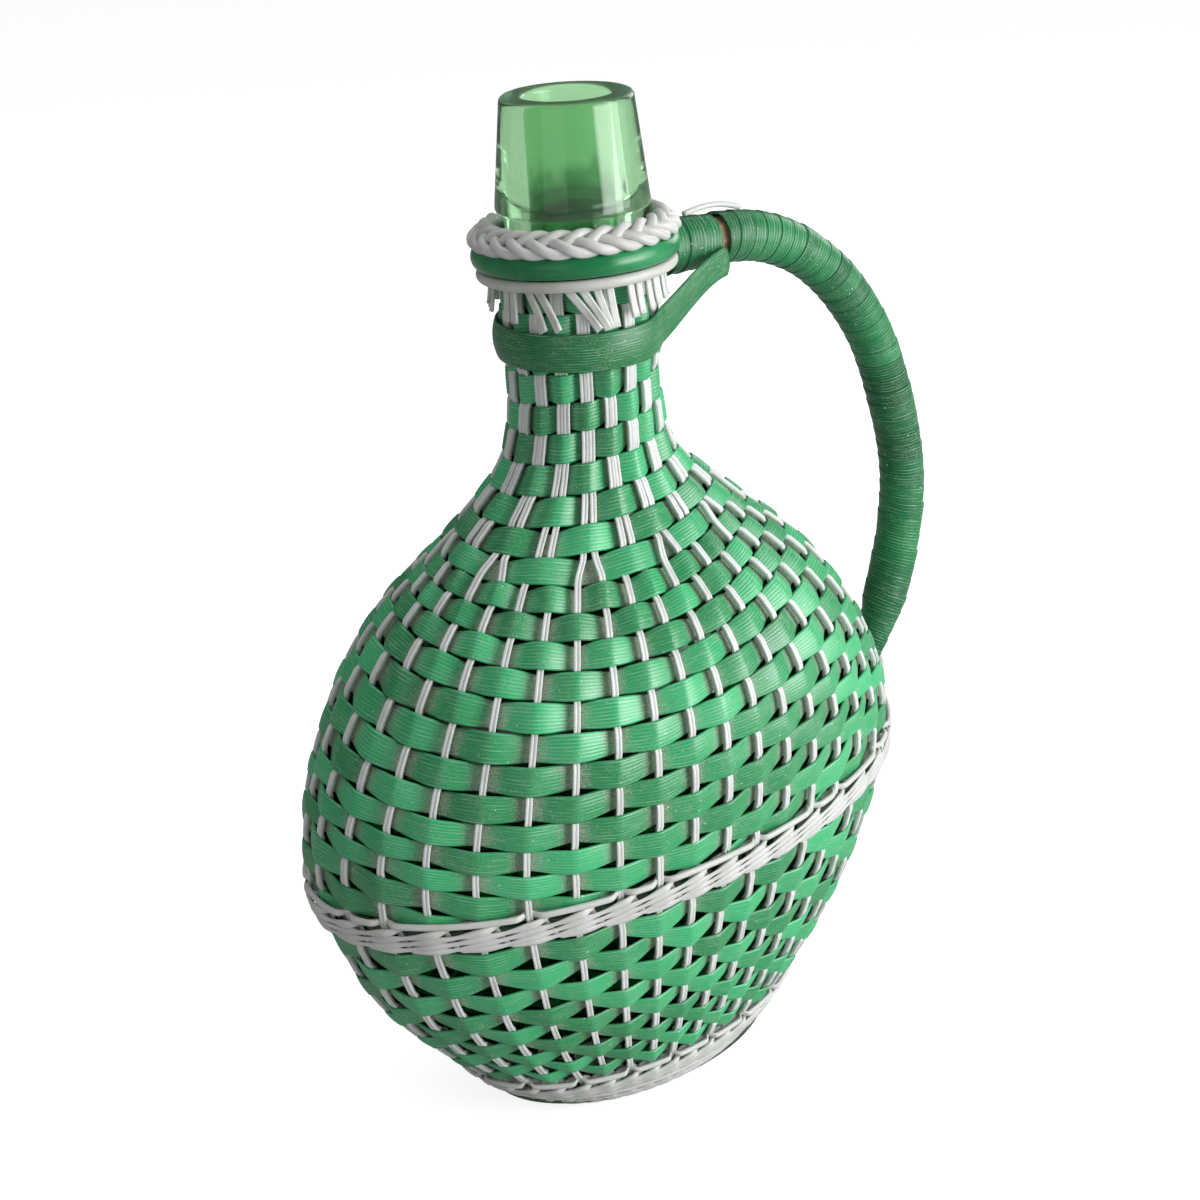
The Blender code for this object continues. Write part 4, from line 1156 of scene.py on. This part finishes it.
def wound(name, start, end, turns, overlap, loose, node):
    """Ribbon wound round the handle: way = pitch turn + v width, its first edge on top."""
    pitch = (end - start) / turns
    steps = 26
    turn = np.arange(turns * steps + 1) / steps
    knots = np.arange(turns + 1)
    v, rib, v_all, across = ribbed(WRAP_RIBS)
    outer = WRAP_THICKNESS + WRAP_LAP * (1 - v) ** 1.5 + WRAP_RIB * rib
    outer[0] -= 0.3 * WRAP_THICKNESS
    lift = np.concatenate([outer, WRAP_LAP * (1 - INNER_SIDE) ** 1.5])
    wobble = np.interp(turn, knots, rng.normal(0, 0.10 + loose, turns + 1))
    way = start + pitch * (turn[:, None] - 1 + v_all * (1 + overlap) + 0.6 * wobble[:, None])
    way = np.clip(way, start, end)
    swell = np.interp(turn, knots, np.abs(rng.normal(0, 0.00012, turns + 1)))
    radius = HANDLE.core_radius(way) + WRAP_SEAT + lift + swell[:, None]
    points = HANDLE.point(way, 2 * math.pi * turn[:, None], radius)
    tone = np.interp(turn, knots, rng.uniform(0, 1, turns + 1))
    cover = np.concatenate([0.75 * v ** 4, [0.9, 0.9, 0.9]])
    part = grid_part(points, turn * WRAP_TURN_LENGTH, across, closed_along=False,
                     cover=cover, tone=tone[:, None])
    return piece(name, [part], WRAP_GREEN, "green_ribbon", node)


def cord_piece(name, line, radius, node):
    """Round white cord along a line, its ends closed."""
    lead = np.tile([0.01, 1.0, 0.02], (len(line), 1))
    part = strand(line, lead, radius, travelled(line), 12, closed=False, cover=0.3)
    return piece(name, [part], STRAND_WHITE, "white_strand", node)


def handle_pieces():
    """The winding, the looser root turns, the keeper strand and the loop at the tip."""
    wrap_start = ROOT_WRAP_LENGTH + ROOT_BARE_LENGTH
    wound("handle_winding", wrap_start, HANDLE.length, WRAP_TURNS, 0.22, 0.0, "handle_wrap")
    wound("root_winding", 0.0, ROOT_WRAP_LENGTH, ROOT_TURNS, 0.25, 0.05, "handle_root_wrap")
    share = np.linspace(0, 1, 24)
    way = ROOT_WRAP_LENGTH / 2 + share * wrap_start
    line = HANDLE.point(way, 0.0, HANDLE.wound_radius(way) + KEEPER_THICKNESS / 2
                        + KEEPER_RISE * np.sin(math.pi * share))
    cord_piece("keeper", line, KEEPER_THICKNESS / 2, "keeper_strand")
    way = HANDLE.length - EYELET_REACH
    stand_off = HANDLE.wound_radius(way) + EYELET_THICKNESS / 2
    crown = HANDLE.point(way, 0.0, stand_off)
    foot_x = LONG_HALF + EYELET_STAND_OFF + EYELET_THICKNESS / 2
    foot_z = MID_BAND_HEIGHT + BAND_SLANT_SHARE * foot_x - EYELET_DROP
    angle = np.linspace(0, math.pi, 32)
    sine = np.sin(angle)
    line = np.stack([foot_x + sine * (crown[0] - foot_x), stand_off * np.cos(angle),
                     foot_z + sine * (crown[2] - foot_z)], axis=-1)
    cord_piece("tip_loop", line, EYELET_THICKNESS / 2, "handle_eyelet")


handle_pieces()
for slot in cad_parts["handle_core"].material_slots:
    slot.material = CANE


# Sling

def neck_sling():
    """Wide grooved ribbon round the neck, both ends rising along the handle's root."""
    radius = NECK_OUTLINE_SHARES[-2][1] * NECK_HALF + SLING_EASE
    far_x = HANDLE.point(ROOT_WRAP_LENGTH, 0.0, 0.0)[0]
    start = np.array([far_x, HANDLE.wound_radius(0.0) + BORDER_GAP, 0])
    angle = np.linspace(SLING_LEAVE, math.pi, 60)
    round_part = radius * around(angle)
    lead = start + np.linspace(0, 1, 20)[:-1, None] * (round_part[0] - start)
    half = np.vstack([lead, round_part])
    way = travelled(half)
    climb_way = way[len(lead)] + radius * (SLING_CLIMB - SLING_LEAVE)
    rise = 1 - smooth_step(0, climb_way, way)
    half[:, 2] = SLING_HEIGHT + rise * SLING_RISE
    width = SLING_WIDTH + rise * (SLING_END_WIDTH - SLING_WIDTH)
    line = np.vstack([half, half[::-1][1:] * (1, -1, 1)])
    width = np.concatenate([width, width[::-1][1:]])
    along = unit(np.gradient(line, axis=0) * (1, 1, 0))
    outwards = np.stack([along[:, 1], -along[:, 0], 0 * width], axis=1)
    middle = len(line) // 2
    outwards = outwards * np.sign(np.dot(outwards[middle], line[middle]))
    v, rib, v_all, across = ribbed(SLING_RIBS)
    outer = SLING_THICKNESS * (1.5 - 1.1 * (2 * v - 1) ** 2) + SLING_RIB * rib
    out = np.concatenate([outer, [0, 0.0003, 0]])
    points = line[:, None, :] + out[None, :, None] * outwards[:, None, :]
    points[..., 2] += width[:, None] * (0.5 - v_all)
    part = grid_part(points, travelled(line), across, closed_along=False,
                     cover=0.55 * np.abs(2 * v_all - 1) ** 6, tone=0.4)
    return piece("sling", [part], SLING_GREEN, "green_ribbon", "neck_sling")


neck_sling()


# Glass

def collar_profile():
    """Radii and heights up the collar, over the rim and down the bore, its edges quarter rounds."""
    step = COLLAR_ROUNDING
    quarter = np.linspace(0, math.pi / 2, 7)[:, None]
    sine, cosine = step * (1 - np.sin(quarter)), step * (1 - np.cos(quarter))
    part = np.linspace(0, 1, 14)[1:, None]
    foot = np.hstack([COLLAR_FOOT_RADIUS - sine, COLLAR_FOOT_HEIGHT + cosine])
    rim = np.hstack([COLLAR_TOP_RADIUS - cosine, RIM_HEIGHT - sine])
    lip = np.hstack([BORE_RADIUS + sine, RIM_HEIGHT - cosine])
    wall = foot[-1] + part[:-1] * (rim[0] - foot[-1])
    bore = lip[-1] + part * (np.array([BORE_RADIUS, WEAVE_TOP]) - lip[-1])
    return np.vstack([foot, wall, rim, lip, bore])


def glass_bottle():
    """Bottle as one skin: outer side up, over the rim, down the bore and the inner side."""
    share = np.arange(GLASS_CORNERS) / GLASS_CORNERS
    angle = 2 * math.pi * share
    circle = around(angle)
    upwards = np.array([0.0, 0.0, 1.0])
    levels = np.concatenate([np.linspace(GLASS_LOWEST_LEVEL, 0.2, 40),
                             np.linspace(0.2, WEAVE_TOP, 16)[1:]])[:, None]
    depth = cross_depth(levels) + GLASS_DEPTH_EXTRA
    wall = np.interp(levels, (OPEN_LEVEL, SPLIT_LEVEL), (GLASS_WALL, GLASS_WALL_NECK))
    outer = skin(share, levels, depth)
    inner = skin(share, levels, depth + wall)[::-1]
    collar = collar_profile()[:, None]
    rings = collar[..., :1] * circle + collar[..., 1:] * upwards
    bore = inner[np.hypot(inner[:, 0, 0], inner[:, 0, 1]) > BORE_RADIUS]
    foot = outer[:1] * (1, 1, 0) + GLASS_BOTTOM * upwards
    inside = inner[-1:] * (1, 1, 0) + (GLASS_BOTTOM + GLASS_FLOOR) * upwards
    points = np.concatenate([foot, outer, rings, bore, inside])
    height = points[..., 2]
    within = (np.arange(len(points)) > len(outer) + len(rings) - 13)[:, None]
    # Painted shade: dark where the glass lies in the jacket, and in the bore below a wavy edge.
    edge = INNER_EDGE_HEIGHT + 0.0016 * np.sin(3 * angle + 1.0) + 0.0008 * np.sin(8 * angle)
    shade = np.where(within, falling_step(edge + 0.0015, edge - 0.0015, height),
                     falling_step(GLASS_SHADE_TOP, GLASS_SHADE_FULL, height))
    frost = smooth_step(RIM_HEIGHT - 0.0016, RIM_HEIGHT - 0.0002, height)
    part = grid_part(points, closed_along=False, shade=shade, frost=frost)
    return piece("clear_glass", [part], GLASS, "bottle_glass", "glass_bottle")


glass_bottle()


# Studio

def placed(name, data, place, ahead, up=(0, 0, 1.0)):
    """Object of a camera or a lamp, at a place and looking ahead."""
    ahead = unit(np.array(ahead, float))
    right = unit(np.cross(ahead, up))
    turn = Matrix(np.column_stack([right, np.cross(right, ahead), -ahead]).tolist()).to_4x4()
    thing = bpy.data.objects.new(name, data)
    bpy.context.scene.collection.objects.link(thing)
    thing.matrix_world = Matrix.Translation(place) @ turn
    return thing


def seen_white(wire):
    """The light path node, and 1 for rays from the camera or through glass."""
    rays = wire.node("ShaderNodeLightPath")
    return rays, wire.reckon("MAXIMUM", rays.outputs["Is Camera Ray"],
                             rays.outputs["Is Transmission Ray"])


def studio():
    """Camera, white floor and backdrop, and soft square lamps."""
    scene = bpy.context.scene
    scene.view_settings.view_transform = "Standard"
    camera = bpy.data.cameras.new("camera")
    camera.sensor_width = 36
    camera.lens = CAMERA_LENS
    camera.clip_start = 0.01
    scene.camera = placed("camera", camera, CAMERA_PLACE, CAMERA_AHEAD, CAMERA_UP)

    material, wire, shader = new_material("floor_white")
    glow = wire.product(seen_white(wire)[1], 0.82)
    wire.fill(shader, {"Base Color": (0.50, 0.50, 0.50, 1), "Roughness": 0.9,
                       "Emission Color": (1, 1, 1, 1), "Emission Strength": glow})
    mesh = bpy.data.meshes.new("floor")
    mesh.from_pydata([(x * FLOOR_REACH, y * FLOOR_REACH, 0)
                      for x, y in ((-1, -1), (1, -1), (1, 1), (-1, 1))], [], [(0, 1, 2, 3)])
    mesh.materials.append(material)
    floor = bpy.data.objects.new("floor", mesh)
    scene.collection.objects.link(floor)

    scene.world = bpy.data.worlds.new("backdrop")
    scene.world.use_nodes = True
    wire = Wiring(scene.world.node_tree)
    back = scene.world.node_tree.nodes["Background"]
    rays, seen = seen_white(wire)
    level = wire.sum(0.30, wire.product(seen, 0.75))
    mirrored = wire.product(rays.outputs["Is Glossy Ray"], 0.20)
    wire.fill(back, {"Color": (1, 1, 1, 1),
                     "Strength": wire.reckon("SUBTRACT", level, mirrored)})

    for name, place, aim, size, power in LAMPS:
        light = bpy.data.lights.new(name, "AREA")
        light.size = size
        light.energy = power
        placed(name, light, place, np.subtract(aim, place))


studio()
